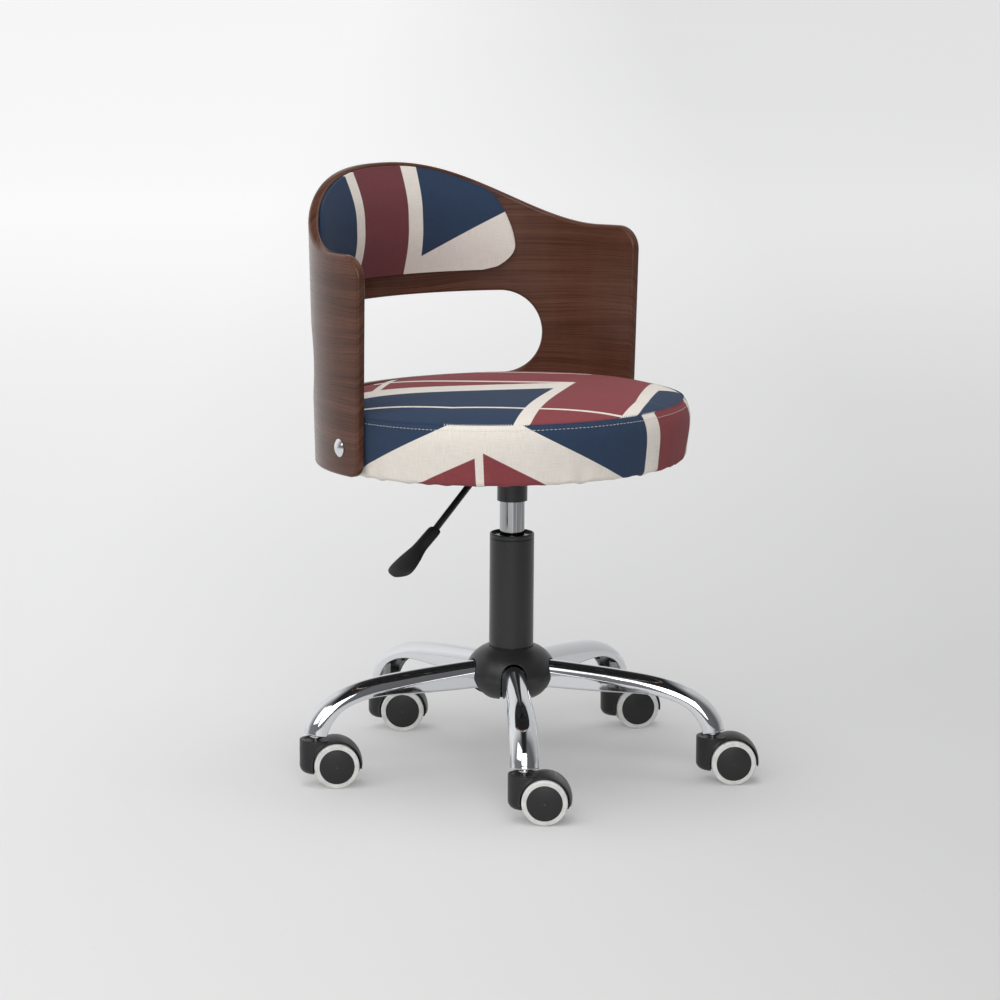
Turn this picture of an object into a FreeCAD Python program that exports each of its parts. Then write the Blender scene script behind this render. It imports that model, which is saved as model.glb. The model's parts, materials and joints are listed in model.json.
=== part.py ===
import FreeCAD, Part
import Sketcher
import math
import os
import re
from FreeCAD import Placement, Rotation, Vector

# Office chair: a bent walnut shell round a printed round seat, a curved back pad, a gas
# column with a hand lever, and a chromed five-arm base on twin-wheel casters.
# Millimetres and degrees. Z is up, the chair faces -Y, and the origin is on the floor
# under the column. Seat pieces are drawn level and then tipped back with the seat.

doc = FreeCAD.newDocument("office_chair")
sheet = doc.addObject("Spreadsheet::Sheet", "sizes")

sizes = {
    # clearances
    "slip": 0.1,                    # between pieces that are pushed together
    "running": 0.08,                # between a shaft and its bearing
    "free_gap": 0.3,                # between a soft or loose piece and its seat
    "overrun": 5,                   # how far a cutter passes the face it opens
    "surface_tolerance": 0.01,      # how closely an offset surface follows its original
    # casters
    "wheel_radius": 25,
    "wheel_width": 20.2,
    "wheel_spacing": 9.2,
    "wheel_hub_radius": 7,
    "wheel_cup_depth": 13,
    "wheel_rim_wall": 3,
    "tyre_depth": 4,
    "tyre_lip": 1.5,
    "tyre_round": 2,
    "cap_rise": 2.2,
    "caster_trail": 22,
    "caster_circle": 233,
    "caster_height": 52.7,
    "axle_radius": 3,
    "axle_cover": 5.2,
    "barrel_radius": 18.2,
    "barrel_low": 14,
    "barrel_round": 9,
    "barrel_dish_radius": 13,
    "barrel_dish_depth": 1.6,
    "hood_radius": 29.8,
    "hood_wall": 3.4,
    "hood_crown": 2,
    "hood_half_width": 19.5,
    "hood_skirt_drop": 4.5,
    "wheel_pocket_gap": 1.2,
    "web_half": 3.4,
    "stem_radius": 4,
    "stem_collar_radius": 7,
    "stem_collar_height": 3,
    "stem_collar_gap": 0.6,
    "stem_height": 20,
    "stem_root": 24,
    "trail_angle_1": -31.6,
    "trail_angle_2": -43.1,
    "trail_angle_3": -37.1,
    "trail_angle_4": -45.1,
    "trail_angle_5": -39.4,
    # five-arm base
    "arm_count": 5,
    "first_arm_angle": 13.9,
    "arm_rise": 72,
    "arm_tip_overhang": 13,
    "arm_root_width": 27,
    "arm_tip_width": 32,
    "arm_wall": 2,
    "socket_boss_radius": 8,
    "socket_boss_height": 21,
    "sleeve_radius": 30,
    "sleeve_length": 34,
    "sleeve_top_drop": 2,
    "cover_radius": 51.5,
    "cover_foot_radius": 33.5,
    "cover_height": 56,
    "cover_rise": 13,
    "cover_wall": 2,
    "cover_shoulder": 30,
    "cover_belly": 4,
    "cover_round": 36,
    "cover_slot_gap": 0.8,
    # gas column
    "tube_radius": 25,
    "tube_wall": 1.8,
    "tube_length": 185,
    "tube_engage": 43,
    "tube_floor": 4,
    "tube_lip": 0.8,
    "groove_drop": 5,
    "groove_width": 1.2,
    "groove_depth": 0.5,
    "bushing_length": 78,
    "bushing_drop": 2.5,
    "cylinder_radius": 14,
    "cylinder_wall": 1.8,
    "cylinder_length": 177,
    "chrome_show": 37,
    "neck_height": 30,
    "neck_taper": 0.8,
    "neck_solid": 8,
    "rod_radius": 5,
    "piston_height": 17,
    "piston_low": 125,
    "bearing_radius": 14,
    "race_height": 1.4,
    "ball_radius": 1.6,
    "ball_count": 12,
    "clip_radius": 9,
    "clip_height": 1.2,
    "rod_groove": 0.8,
    "rod_end": 3,
    # release button and lever
    "button_radius": 3.5,
    "button_show": 5,
    "button_length": 23,
    "button_bore_extra": 4.5,
    "lever_rod_radius": 3.75,
    "lever_bar_rise": 1,
    "lever_pivot": 26,
    "lever_pin_radius": 2,
    "lever_eye_radius": 5,
    "lever_eye_length": 9,
    "lever_bend": 56.8,
    "lever_bend_radius": 14,
    "lever_slope": 39.4,
    "lever_run": 95,
    "blade_thickness": 3,
    "blade_width": 9,
    "blade_reach": 5,
    "grip_length": 77,
    "grip_slope": 36,
    "grip_drop": 50.5,
    "grip_out": 118,
    "grip_width": 37,
    "grip_depth": 11,
    # seat mechanism
    "seat_tilt": 1.75,
    "socket_radius": 17,
    "socket_height": 32,
    "deck_rise": 16,
    "plate_length": 150,
    "plate_width": 120,
    "plate_thickness": 2.5,
    "pan_length": 92,
    "pan_width": 62,
    "pan_depth": 20,
    "pan_wall": 2,
    "pan_slot_width": 13,
    "ear_length": 9,
    "ear_height": 9.5,
    "ear_thickness": 2,
    "plate_bolt_x": 64,
    "plate_bolt_y": 50,
    "plate_bolt_radius": 3,
    "plate_bolt_length": 14,
    "plate_bolt_head": 5.5,
    "plate_bolt_head_height": 3.5,
    # seat
    "seat_back_shift": 8.5,
    "board_inset": 10,
    "board_thickness": 15,
    "ring_width": 18,
    "ring_height": 30,
    "cushion_band": 66,
    "cushion_wrap": 1.5,
    "cushion_foot_inset": 4.6,
    "cushion_seam_inset": 2.4,
    "cushion_crown": 15.5,
    "cushion_shoulder_inset": 30,
    "cushion_shoulder_rise": 8,
    "cushion_shoulder_radius": 80,
    "cushion_band_arc": 240,
    "dust_cover_inset": 4,
    "dust_cover_thickness": 1,
    # walnut shell
    "shell_inner_radius": 204,
    "shell_radius_height": 60,
    "shell_flare": 0.46,
    "shell_thickness": 11,
    "shell_low": 15.5,
    "shell_side_height": 258.5,
    "shell_rim_rise": 76.5,
    "rim_span": 75,
    "rim_power": 1.2,
    "shell_edge_angle_low": 87.1,
    "shell_edge_angle_high": 89.8,
    "shell_corner_low": 16,
    "shell_corner_high": 26,
    "window_low": 84,
    "window_drop": 78,
    "window_half_angle": 55.5,
    # shell bolts
    "bolt_rise": 45,
    "bolt_side_angle": 78,
    "bolt_back_angle": 19,
    "bolt_radius": 3,
    "bolt_head_radius": 10,
    "bolt_head_height": 4,
    "bolt_length": 34,
    "tee_nut_radius": 4.2,
    "tee_nut_length": 12,
    "tee_flange_radius": 9,
    "tee_flange": 1.5,
    # back pad
    "pad_window_gap": 25,
    "pad_rim_gap": 4,
    "pad_half_angle": 46.8,
    "pad_end_rise": 20.5,
    "pad_end_drop": 4.5,
    "pad_board": 4,
    "pad_board_inset": 9,
    "pad_middle_depth": 19,
    "pad_edge_depth": 6,
    "pad_screw_angle": 28,
    "pad_screw_rise": 26.5,
    "pad_screw_step": 40,
    "pad_screw_radius": 2,
    "pad_screw_length": 13,
    "pad_screw_head": 4,
    "pad_screw_head_height": 2.2,
}

# Sizes that follow from the ones above, as sums of their names.
derived = {
    "arm_low": "caster_height + stem_collar_height + 2 * stem_collar_gap",
    "arm_high": "arm_low + arm_rise",
    "arm_reach": "caster_circle + arm_tip_overhang",
    "sleeve_high": "arm_high - sleeve_top_drop",
    "sleeve_low": "sleeve_high - sleeve_length",
    "cover_high": "arm_high + cover_rise",
    "cover_low": "cover_high - cover_height",
    "cover_belly_high": "cover_high - cover_shoulder",
    "cover_belly_low": "cover_belly_high - cover_belly",
    "tube_low": "arm_high - tube_engage",
    "tube_high": "tube_low + tube_length",
    "tube_bore": "tube_radius - tube_wall",
    "bearing_low": "tube_low + tube_floor",
    "bearing_high": "bearing_low + 2 * race_height + 2 * ball_radius",
    "neck_low": "tube_high + chrome_show",
    "neck_high": "neck_low + neck_height",
    "socket_high": "neck_low + socket_height",
    "cylinder_low": "neck_low - cylinder_length",
    "cylinder_bore": "cylinder_radius - cylinder_wall",
    "button_high": "neck_high + button_show",
    "rod_hole": "rod_radius + running",
    "wheel_rim": "wheel_radius - tyre_depth",
    "wheel_bore": "axle_radius + running",
    "wheel_face": "wheel_width - cap_rise",
    "pan_low": "deck_rise - slip - plate_thickness - pan_depth",
    "board_radius": "shell_inner_radius - board_inset",
    "dust_cover_radius": "board_radius - dust_cover_inset",
    "ring_radius": "board_radius - ring_width",
    "board_high": "deck_rise + board_thickness",
    "ring_high": "board_high + ring_height",
    "cushion_low": "deck_rise - cushion_wrap",
    "cushion_seam": "cushion_low + cushion_band",
    "cushion_foot_radius": "shell_inner_radius - cushion_foot_inset",
    "cushion_seam_radius": "shell_inner_radius - cushion_seam_inset",
    "bolt_height": "deck_rise + board_thickness / 2 + bolt_rise / 2",
    "rod_low": "tube_low - rod_end - clip_height",
    "window_high": "shell_side_height - window_drop",
    "pad_low": "window_high + pad_window_gap",
    "pad_end_low": "pad_low + pad_end_rise",
    "pad_end_high": "shell_side_height - pad_end_drop",
    "pad_screw_low": "pad_low + pad_screw_rise",
    "pad_screw_high": "pad_screw_low + pad_screw_step",
}

for row, (name, number) in enumerate(sizes.items(), 1):
    sheet.set("A%d" % row, name)
    sheet.set("B%d" % row, str(number))
    sheet.setAlias("B%d" % row, name)
doc.recompute()


def sheeted(expression):
    """The expression with every name turned into its cell or its own sum."""
    def cell(match):
        word = match.group()
        if word in sizes:
            return "sizes." + word
        if word in derived:
            return "(" + sheeted(derived[word]) + ")"
        return word
    return re.sub(r"[a-z][a-z_0-9]*", cell, expression)


def mm(expression):
    """The expression's number, from the sheet."""
    return float(sheet.evalExpression(sheeted(expression)))


nodes = []


def node(piece, label, solids=1):
    """Names a finished piece and puts it on the list of pieces to write."""
    piece.Label = label
    nodes.append((piece, solids))
    return piece


def sketched(body, name, outline, plane="XZ_Plane"):
    """A closed sketch. Each point is (across, up) or (across, up, radius of the arc to the next
    point); a positive radius bends to the left of the way drawn, a negative one to the right."""
    sketch = body.newObject("Sketcher::SketchObject", name)
    support = [item for item in body.Origin.OriginFeatures if item.Role == plane][0]
    sketch.AttachmentSupport = (support, [""])
    sketch.MapMode = "FlatFace"
    points = [Vector(mm(item[0]), mm(item[1]), 0) for item in outline]
    starts = []
    for index, item in enumerate(outline):
        here = points[index]
        there = points[(index + 1) % len(points)]
        if len(item) == 2:
            sketch.addGeometry(Part.LineSegment(here, there), False)
            starts.append((1, 2))
            continue
        radius = mm(item[2])
        chord = there - here
        left = Vector(-chord.y, chord.x, 0).normalize()
        reach = math.sqrt(radius * radius - chord.Length ** 2 / 4)
        centre = (here + there) / 2 + left * math.copysign(reach, radius)
        angles = [math.atan2(end.y - centre.y, end.x - centre.x) for end in (here, there)]
        circle = Part.Circle(centre, Vector(0, 0, 1), abs(radius))
        if radius > 0:
            sketch.addGeometry(Part.ArcOfCircle(circle, angles[0], angles[1]), False)
            starts.append((1, 2))
        else:
            sketch.addGeometry(Part.ArcOfCircle(circle, angles[1], angles[0]), False)
            starts.append((2, 1))
        rule = sketch.addConstraint(Sketcher.Constraint("Radius", index, abs(radius)))
        sketch.setExpression("Constraints[%d]" % rule, sheeted("abs(%s)" % item[2]))
    for index, item in enumerate(outline):
        after = (index + 1) % len(outline)
        sketch.addConstraint(
            Sketcher.Constraint("Coincident", index, starts[index][1], after, starts[after][0]))
        for kind, expression, number in (
                ("DistanceX", item[0], points[index].x), ("DistanceY", item[1], points[index].y)):
            if number == 0:
                axis = -2 if kind == "DistanceX" else -1
                sketch.addConstraint(
                    Sketcher.Constraint("PointOnObject", index, starts[index][0], axis))
                continue
            rule = sketch.addConstraint(
                Sketcher.Constraint(kind, -1, 1, index, starts[index][0], number))
            sketch.setExpression("Constraints[%d]" % rule, sheeted(expression))
    return sketch


def cap_radius(half, rise):
    """The radius of a round cap that is level in its middle, from its half width and rise."""
    return "((%s) ^ 2 + (%s) ^ 2) / (2 * (%s))" % (half, rise, rise)


def turned(name, outline):
    """A body of revolution about its own upright axis."""
    body = doc.addObject("PartDesign::Body", name)
    sketch = sketched(body, name + "_outline", outline)
    turn = body.newObject("PartDesign::Revolution", name + "_turn")
    turn.Profile = sketch
    turn.ReferenceAxis = (sketch, ["V_Axis"])
    turn.Angle = 360
    return body


def rod(name, radius, length, low="0"):
    """A plain upright cylinder from the height low."""
    piece = doc.addObject("Part::Cylinder", name)
    piece.setExpression("Radius", sheeted(radius))
    piece.setExpression("Height", sheeted(length))
    piece.setExpression("Placement.Base.z", sheeted(low))
    return piece


def block(name, corner, extent):
    """A box from its lowest corner, given as three sums each."""
    piece = doc.addObject("Part::Box", name)
    for side, expression in zip(("Length", "Width", "Height"), extent):
        piece.setExpression(side, sheeted(expression))
    for axis, expression in zip("xyz", corner):
        piece.setExpression("Placement.Base." + axis, sheeted(expression))
    return piece


def joined(name, pieces):
    union = doc.addObject("Part::MultiFuse", name)
    union.Shapes = pieces
    return union


def cut(name, base, tool):
    difference = doc.addObject("Part::Cut", name)
    difference.Base = base
    difference.Tool = tool
    return difference


def grouped(name, pieces):
    group = doc.addObject("Part::Compound", name)
    group.Links = pieces
    return group


def shaped(name, shape, place=None):
    """A piece whose surface is worked out here from the sheet's sizes."""
    piece = doc.addObject("Part::Feature", name)
    piece.Shape = shape
    if place:
        piece.Placement = place
    return piece


def seat_place():
    """Where the seat's own level frame sits: on the socket's top, tipped back."""
    return Placement(Vector(0, 0, mm("socket_high")), Rotation(Vector(1, 0, 0), -mm("seat_tilt")))


def seat_round_place():
    """The seat's frame moved back to the middle of the round seat."""
    return seat_place().multiply(Placement(Vector(0, mm("seat_back_shift"), 0), Rotation()))


def arm_angle(number):
    return mm("first_arm_angle") + (number - 1) * 360 / mm("arm_count")


# Casters

def caster_place(number):
    """The caster's upright pivot on the floor, turned to its own rest heading."""
    heading = math.radians(arm_angle(number))
    reach = mm("caster_circle")
    foot = Vector(reach * math.cos(heading), reach * math.sin(heading), 0)
    return Placement(foot, Rotation(Vector(0, 0, 1), mm("trail_angle_%d" % number)))


def axle_place(side=1):
    """The middle of the axle, with the upright axis laid along the axle to one side."""
    middle = Vector(mm("caster_trail"), 0, mm("wheel_radius"))
    return Placement(middle, Rotation(Vector(1, 0, 0), -90 * side))


def across_axle(name, radius, half):
    """A cylinder along the axle, the same distance to both sides."""
    piece = rod(name, radius, "2 * (%s)" % half)
    piece.Placement = axle_place().multiply(Placement(Vector(0, 0, -mm(half)), Rotation()))
    piece.setExpression("Placement.Base.z", None)
    return piece


def crowned_across_axle(name, radius, half, rise):
    """A cylinder along the axle that swells by the rise from its two ends to its middle."""
    edge = "%s - %s" % (radius, rise)
    piece = turned(name, [
        ("0", "0"),
        (edge, "0", cap_radius(half, rise)),
        (edge, "2 * (%s)" % half),
        ("0", "2 * (%s)" % half),
    ])
    piece.Placement = axle_place().multiply(Placement(Vector(0, 0, -mm(half)), Rotation()))
    return piece


def make_caster_hood(number):
    """The upright barrel, the web between the wheels and the fender over them."""
    name = "caster_%d_" % number
    barrel = turned(name + "barrel", [
        ("0", "barrel_low"),
        ("barrel_radius - barrel_round - slip", "barrel_low", "barrel_round"),
        ("barrel_radius - slip", "barrel_low + barrel_round"),
        ("barrel_radius", "caster_height - slip - slip"),
        ("barrel_radius - slip - slip", "caster_height"),
        ("barrel_dish_radius", "caster_height"),
        ("barrel_dish_radius", "caster_height - barrel_dish_depth"),
        ("stem_radius + slip", "caster_height - barrel_dish_depth"),
        ("stem_radius + slip", "stem_root - slip"),
        ("0", "stem_root - slip"),
    ])
    fender = cut(name + "fender",
                 crowned_across_axle(name + "fender_outside", "hood_radius", "hood_half_width",
                                     "hood_crown"),
                 across_axle(name + "fender_inside", "hood_radius - hood_wall",
                             "hood_half_width + overrun"))
    skirt = block(name + "below_fender",
                  ("caster_trail - hood_radius - overrun", "0 - hood_half_width - overrun",
                   "0 - overrun - hood_radius"),
                  ("2 * hood_radius + 2 * overrun", "2 * hood_half_width + 2 * overrun",
                   "wheel_radius - hood_skirt_drop + overrun + hood_radius"))
    arch = cut(name + "arch", fender, skirt)
    web = cut(name + "web",
              across_axle(name + "web_disc", "hood_radius - hood_wall / 2", "web_half"),
              block(name + "below_web",
                    ("caster_trail - hood_radius - overrun", "0 - web_half - overrun",
                     "0 - overrun - hood_radius"),
                    ("2 * hood_radius + 2 * overrun", "2 * web_half + 2 * overrun",
                     "barrel_low + overrun + hood_radius")))
    body = joined(name + "body", [barrel, arch, web])
    pockets = []
    for side in (1, -1):
        pocket = rod(name + ("left_pocket" if side > 0 else "right_pocket"),
                     "wheel_radius + wheel_pocket_gap", "hood_half_width + overrun")
        pocket.Placement = axle_place(side).multiply(
            Placement(Vector(0, 0, mm("web_half")), Rotation()))
        pocket.setExpression("Placement.Base.z", None)
        pockets.append(pocket)
    bore = across_axle(name + "axle_hole", "axle_radius + slip", "web_half + overrun")
    hole = rod(name + "stem_hole", "stem_radius + slip", "caster_height", "stem_root - slip")
    hood = cut(name + "hood", body, joined(name + "openings", pockets + [bore, hole]))
    hood.Placement = caster_place(number)
    node(hood, name + "hood")


def make_caster_pins(number):
    """The chromed swivel stem with its collar, and the wheels' axle."""
    name = "caster_%d_" % number
    stem = turned(name + "stem", [
        ("0", "stem_root"),
        ("stem_radius", "stem_root"),
        ("stem_radius", "caster_height + stem_collar_gap"),
        ("stem_collar_radius", "caster_height + stem_collar_gap"),
        ("stem_collar_radius", "caster_height + stem_collar_gap + stem_collar_height"),
        ("stem_radius", "caster_height + stem_collar_gap + stem_collar_height"),
        ("stem_radius", "caster_height + stem_height - slip"),
        ("stem_radius - slip - slip", "caster_height + stem_height"),
        ("0", "caster_height + stem_height"),
    ])
    axle = across_axle(name + "axle", "axle_radius",
                       "wheel_spacing / 2 + wheel_width - axle_cover - slip")
    pins = grouped(name + "pins", [stem, axle])
    pins.Placement = caster_place(number)
    node(pins, name + "pins", 2)


def make_caster_wheel(number, side):
    """A dished black core with a domed cap, and the pale tyre round it."""
    name = "caster_%d_%s_" % (number, "left" if side > 0 else "right")
    core = turned(name + "core", [
        ("wheel_bore", "0"),
        ("wheel_hub_radius", "0"),
        ("wheel_hub_radius", "wheel_cup_depth"),
        ("wheel_rim - wheel_rim_wall", "wheel_cup_depth"),
        ("wheel_rim - wheel_rim_wall", "0"),
        ("wheel_rim", "0"),
        ("wheel_rim", "wheel_face - cap_rise"),
        ("wheel_rim - tyre_lip", "wheel_face - cap_rise"),
        ("wheel_rim - tyre_lip", "wheel_face", cap_radius("wheel_rim - tyre_lip", "cap_rise")),
        ("0", "wheel_width"),
        ("0", "wheel_width - axle_cover"),
        ("wheel_bore", "wheel_width - axle_cover"),
    ])
    tyre = turned(name + "tyre", [
        ("wheel_rim + slip", "0"),
        ("wheel_radius - tyre_round", "0", "tyre_round"),
        ("wheel_radius", "tyre_round"),
        ("wheel_radius", "wheel_face - tyre_round", "tyre_round"),
        ("wheel_radius - tyre_round", "wheel_face"),
        ("wheel_rim - tyre_lip + slip", "wheel_face"),
        ("wheel_rim - tyre_lip + slip", "wheel_face - cap_rise + slip"),
        ("wheel_rim + slip", "wheel_face - cap_rise + slip"),
    ])
    face = axle_place(side).multiply(Placement(Vector(0, 0, mm("wheel_spacing / 2")), Rotation()))
    for piece in (core, tyre):
        piece.Placement = caster_place(number).multiply(face)
        node(piece, piece.Name)


# Five-arm base

# The arm's side outline at each station, as shares: how far out the top and the bottom
# lie of the reach, and how high they lie between the tip and the root.
top_out_shares = (0.08, 0.25, 0.439, 0.55, 0.65, 0.735, 0.81, 0.875, 0.926, 0.963, 0.988, 1.0)
top_up_shares = (1.0, 0.965, 0.917, 0.88, 0.84, 0.785, 0.705, 0.6, 0.475, 0.335, 0.19, 0.04)
low_out_shares = (0.08, 0.25, 0.431, 0.535, 0.622, 0.695, 0.757, 0.808, 0.85, 0.88, 0.902, 0.915)
low_up_shares = (0.586, 0.57, 0.563, 0.568, 0.57, 0.553, 0.51, 0.445, 0.36, 0.25, 0.13, 0.0)


# How much lower than a half round the arm's top is, as a share of its half width.
arch_rise_share = 0.98


def arch_wire(top, low, half):
    """One section of the arm: flat underneath, upright sides and a round top."""
    across = Vector(0, 1, 0)
    up = (top - low).normalize()
    radius = half * arch_rise_share
    spring = top - up * radius
    left = low - across * half
    right = low + across * half
    left_up = spring - across * half
    right_up = spring + across * half
    edges = [Part.LineSegment(left, right).toShape(), Part.LineSegment(right, right_up).toShape()]
    slant = math.sqrt(0.5)
    right_mid = spring + across * (half * slant) + up * (radius * slant)
    left_mid = spring - across * (half * slant) + up * (radius * slant)
    edges.append(Part.Arc(right_up, right_mid, top).toShape())
    edges.append(Part.Arc(top, left_mid, left_up).toShape())
    edges.append(Part.LineSegment(left_up, left).toShape())
    return Part.Wire(edges)


def arm_loft(inset, drop):
    """The arm's filled outline along +X, drawn in by the inset and reaching lower by the drop."""
    reach = mm("arm_reach")
    low_height = mm("arm_low")
    rise = mm("arm_rise")
    wires = []
    for share in zip(top_out_shares, top_up_shares, low_out_shares, low_up_shares):
        top = Vector(share[0] * reach, 0, low_height + share[1] * rise)
        low = Vector(share[2] * reach, 0, low_height + share[3] * rise)
        up = (top - low).normalize()
        widen = (share[0] - top_out_shares[0]) / (top_out_shares[-1] - top_out_shares[0])
        half = mm("arm_root_width") / 2 + widen * mm("arm_tip_width - arm_root_width") / 2
        wires.append(arch_wire(top - up * inset, low - up * drop, half - inset))
    return Part.makeLoft(wires, True, False)


def make_arms():
    """Pressed channels, open underneath, bent down at the tip over the caster."""
    outside = arm_loft(0, 0)
    hollow = arm_loft(mm("arm_wall"), mm("overrun"))
    channel = outside.cut(hollow)
    root = Part.makeCylinder(mm("sleeve_radius"), mm("cover_high"))
    channel = channel.cut(root).removeSplitter()
    for number in range(1, int(mm("arm_count")) + 1):
        place = Placement(Vector(), Rotation(Vector(0, 0, 1), arm_angle(number)))
        node(shaped("arm_%d" % number, channel, place), "arm_%d" % number)
    return hollow


def make_stem_sockets(hollow):
    """A boss inside each arm's tip with the blind hole that takes the caster's stem."""
    pivot = Vector(mm("caster_circle"), 0, mm("arm_low + stem_collar_gap / 2"))
    boss = Part.makeCylinder(mm("socket_boss_radius"), mm("socket_boss_height"), pivot)
    boss = boss.common(hollow)
    depth = mm("caster_height + stem_height + free_gap")
    bore = Part.makeCylinder(mm("stem_radius + running"), depth, Vector(pivot.x, 0, 0))
    boss = boss.cut(bore)
    bosses = []
    for number in range(1, int(mm("arm_count")) + 1):
        place = Placement(Vector(), Rotation(Vector(0, 0, 1), arm_angle(number)))
        bosses.append(shaped("stem_socket_%d" % number, boss, place))
    node(grouped("stem_sockets", bosses), "stem_sockets", len(bosses))


def make_hub_sleeve():
    node(turned("hub_sleeve", [
        ("tube_radius + slip", "sleeve_low"),
        ("sleeve_radius", "sleeve_low"),
        ("sleeve_radius", "sleeve_high"),
        ("tube_radius + slip", "sleeve_high"),
    ]), "hub_sleeve")


def make_hub_cover():
    """A bowl-sided plastic cover, drawn in at its foot, with an arched slot over each arm."""
    dome = turned("hub_cover_dome", [
        ("sleeve_radius + cover_slot_gap", "cover_low"),
        ("cover_foot_radius", "cover_low", "cover_round"),
        ("cover_radius", "cover_belly_low"),
        ("cover_radius", "cover_belly_high", "cover_round"),
        ("tube_radius + cover_wall", "cover_high"),
        ("tube_radius + free_gap", "cover_high"),
        ("tube_radius + free_gap", "cover_high - cover_wall"),
        ("tube_radius + cover_wall", "cover_high - cover_wall", "0 - cover_round + cover_wall"),
        ("cover_radius - cover_wall", "cover_belly_high"),
        ("cover_radius - cover_wall", "cover_belly_low", "0 - cover_round + cover_wall"),
    ])
    slots = []
    for number in range(1, int(mm("arm_count")) + 1):
        half = "arm_root_width / 2 + cover_slot_gap + free_gap"
        high = "arm_high - (%s)" % half
        slot = block("hub_cover_slot_%d" % number,
                     ("tube_radius + free_gap", "0 - (%s)" % half, "cover_low - overrun"),
                     ("cover_radius - tube_radius + overrun", "2 * (%s)" % half,
                      "%s - cover_low + overrun" % high))
        arch = rod("hub_cover_arch_%d" % number, "arm_root_width / 2 + cover_slot_gap + free_gap",
                   "cover_radius - tube_radius + overrun")
        arch.setExpression("Placement.Base.z", None)
        arch.Placement = Placement(Vector(mm("tube_radius + free_gap"), 0, mm(high)),
                                   Rotation(Vector(0, 1, 0), 90))
        opening = joined("hub_cover_opening_%d" % number, [slot, arch])
        opening.Placement = Placement(Vector(), Rotation(Vector(0, 0, 1), arm_angle(number)))
        slots.append(opening)
    node(cut("hub_cover", dome, joined("hub_cover_openings", slots)), "hub_cover")


# Gas column

def make_outer_tube():
    """The black tube with a closed foot and a pressed ring groove under its rim."""
    node(turned("outer_tube", [
        ("rod_hole", "tube_low"),
        ("tube_radius", "tube_low"),
        ("tube_radius", "tube_high - groove_drop - groove_width"),
        ("tube_radius - groove_depth", "tube_high - groove_drop - groove_width + groove_depth"),
        ("tube_radius - groove_depth", "tube_high - groove_drop - groove_depth"),
        ("tube_radius", "tube_high - groove_drop"),
        ("tube_radius", "tube_high - tube_lip"),
        ("tube_radius - tube_lip", "tube_high"),
        ("tube_bore", "tube_high"),
        ("tube_bore", "tube_low + tube_floor"),
        ("rod_hole", "tube_low + tube_floor"),
    ]), "outer_tube")


def make_guide_bushing():
    """The plastic guide that the chromed cylinder slides in."""
    node(turned("guide_bushing", [
        ("cylinder_radius + running", "tube_high - bushing_drop - bushing_length"),
        ("tube_bore - slip", "tube_high - bushing_drop - bushing_length"),
        ("tube_bore - slip", "tube_high - bushing_drop"),
        ("cylinder_radius + running", "tube_high - bushing_drop"),
    ]), "guide_bushing")


def make_thrust_bearing():
    """Two races with a ring of balls, under the rod's shoulder."""
    races = []
    for race, low in (("lower", "bearing_low + slip"),
                      ("upper", "bearing_low + race_height + 2 * ball_radius + 3 * slip")):
        races.append(turned("bearing_%s_race" % race, [
            ("rod_hole", low),
            ("bearing_radius", low),
            ("bearing_radius", low + " + race_height"),
            ("rod_hole", low + " + race_height"),
        ]))
    balls = []
    circle = mm("(bearing_radius + rod_radius) / 2")
    height = mm("bearing_low + race_height + ball_radius + 2 * slip")
    for index in range(int(mm("ball_count"))):
        angle = 2 * math.pi * index / mm("ball_count")
        ball = doc.addObject("Part::Sphere", "bearing_ball_%d" % (index + 1))
        ball.setExpression("Radius", sheeted("ball_radius"))
        ball.Placement.Base = Vector(circle * math.cos(angle), circle * math.sin(angle), height)
        balls.append(ball)
    node(grouped("thrust_bearing", races + balls), "thrust_bearing", 2 + len(balls))


def make_piston_rod():
    """The fixed rod: a grooved foot for the clip, a shoulder on the bearing, the piston on top."""
    shoulder = "bearing_high + 4 * slip"
    node(turned("piston_rod", [
        ("0", "rod_low"),
        ("rod_radius", "rod_low"),
        ("rod_radius", "tube_low - slip - clip_height - slip"),
        ("rod_radius - rod_groove", "tube_low - slip - clip_height - slip"),
        ("rod_radius - rod_groove", "tube_low - slip"),
        ("rod_radius", "tube_low - slip"),
        ("rod_radius", shoulder),
        ("rod_radius + race_height", shoulder),
        ("rod_radius + race_height", shoulder + " + race_height"),
        ("rod_radius", shoulder + " + race_height"),
        ("rod_radius", "tube_low + piston_low"),
        ("cylinder_bore - running", "tube_low + piston_low"),
        ("cylinder_bore - running", "tube_low + piston_low + piston_height"),
        ("0", "tube_low + piston_low + piston_height"),
    ]), "piston_rod")


def make_rod_clip():
    """The open spring clip that holds the rod down on the tube's floor."""
    ring = turned("rod_clip_ring", [
        ("rod_radius - rod_groove + slip", "tube_low - slip - clip_height"),
        ("clip_radius", "tube_low - slip - clip_height"),
        ("clip_radius", "tube_low - slip"),
        ("rod_radius - rod_groove + slip", "tube_low - slip"),
    ])
    mouth = block("rod_clip_mouth",
                  ("0", "0 - rod_radius / 2", "tube_low - clip_height - overrun"),
                  ("clip_radius + overrun", "rod_radius", "clip_height + 2 * overrun"))
    node(cut("rod_clip", ring, mouth), "rod_clip")


def make_gas_cylinder():
    """The chromed cylinder with its tapered neck and the bore for the release button."""
    node(turned("gas_cylinder", [
        ("rod_hole", "cylinder_low"),
        ("cylinder_radius", "cylinder_low"),
        ("cylinder_radius", "neck_low"),
        ("cylinder_radius - neck_taper", "neck_high"),
        ("button_radius + running", "neck_high"),
        ("button_radius + running", "neck_high + button_show - button_length - button_bore_extra"),
        ("0", "neck_high + button_show - button_length - button_bore_extra"),
        ("0", "neck_low - neck_solid"),
        ("cylinder_bore", "neck_low - neck_solid"),
        ("cylinder_bore", "cylinder_low + neck_solid"),
        ("rod_hole", "cylinder_low + neck_solid"),
    ]), "gas_cylinder")


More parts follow.
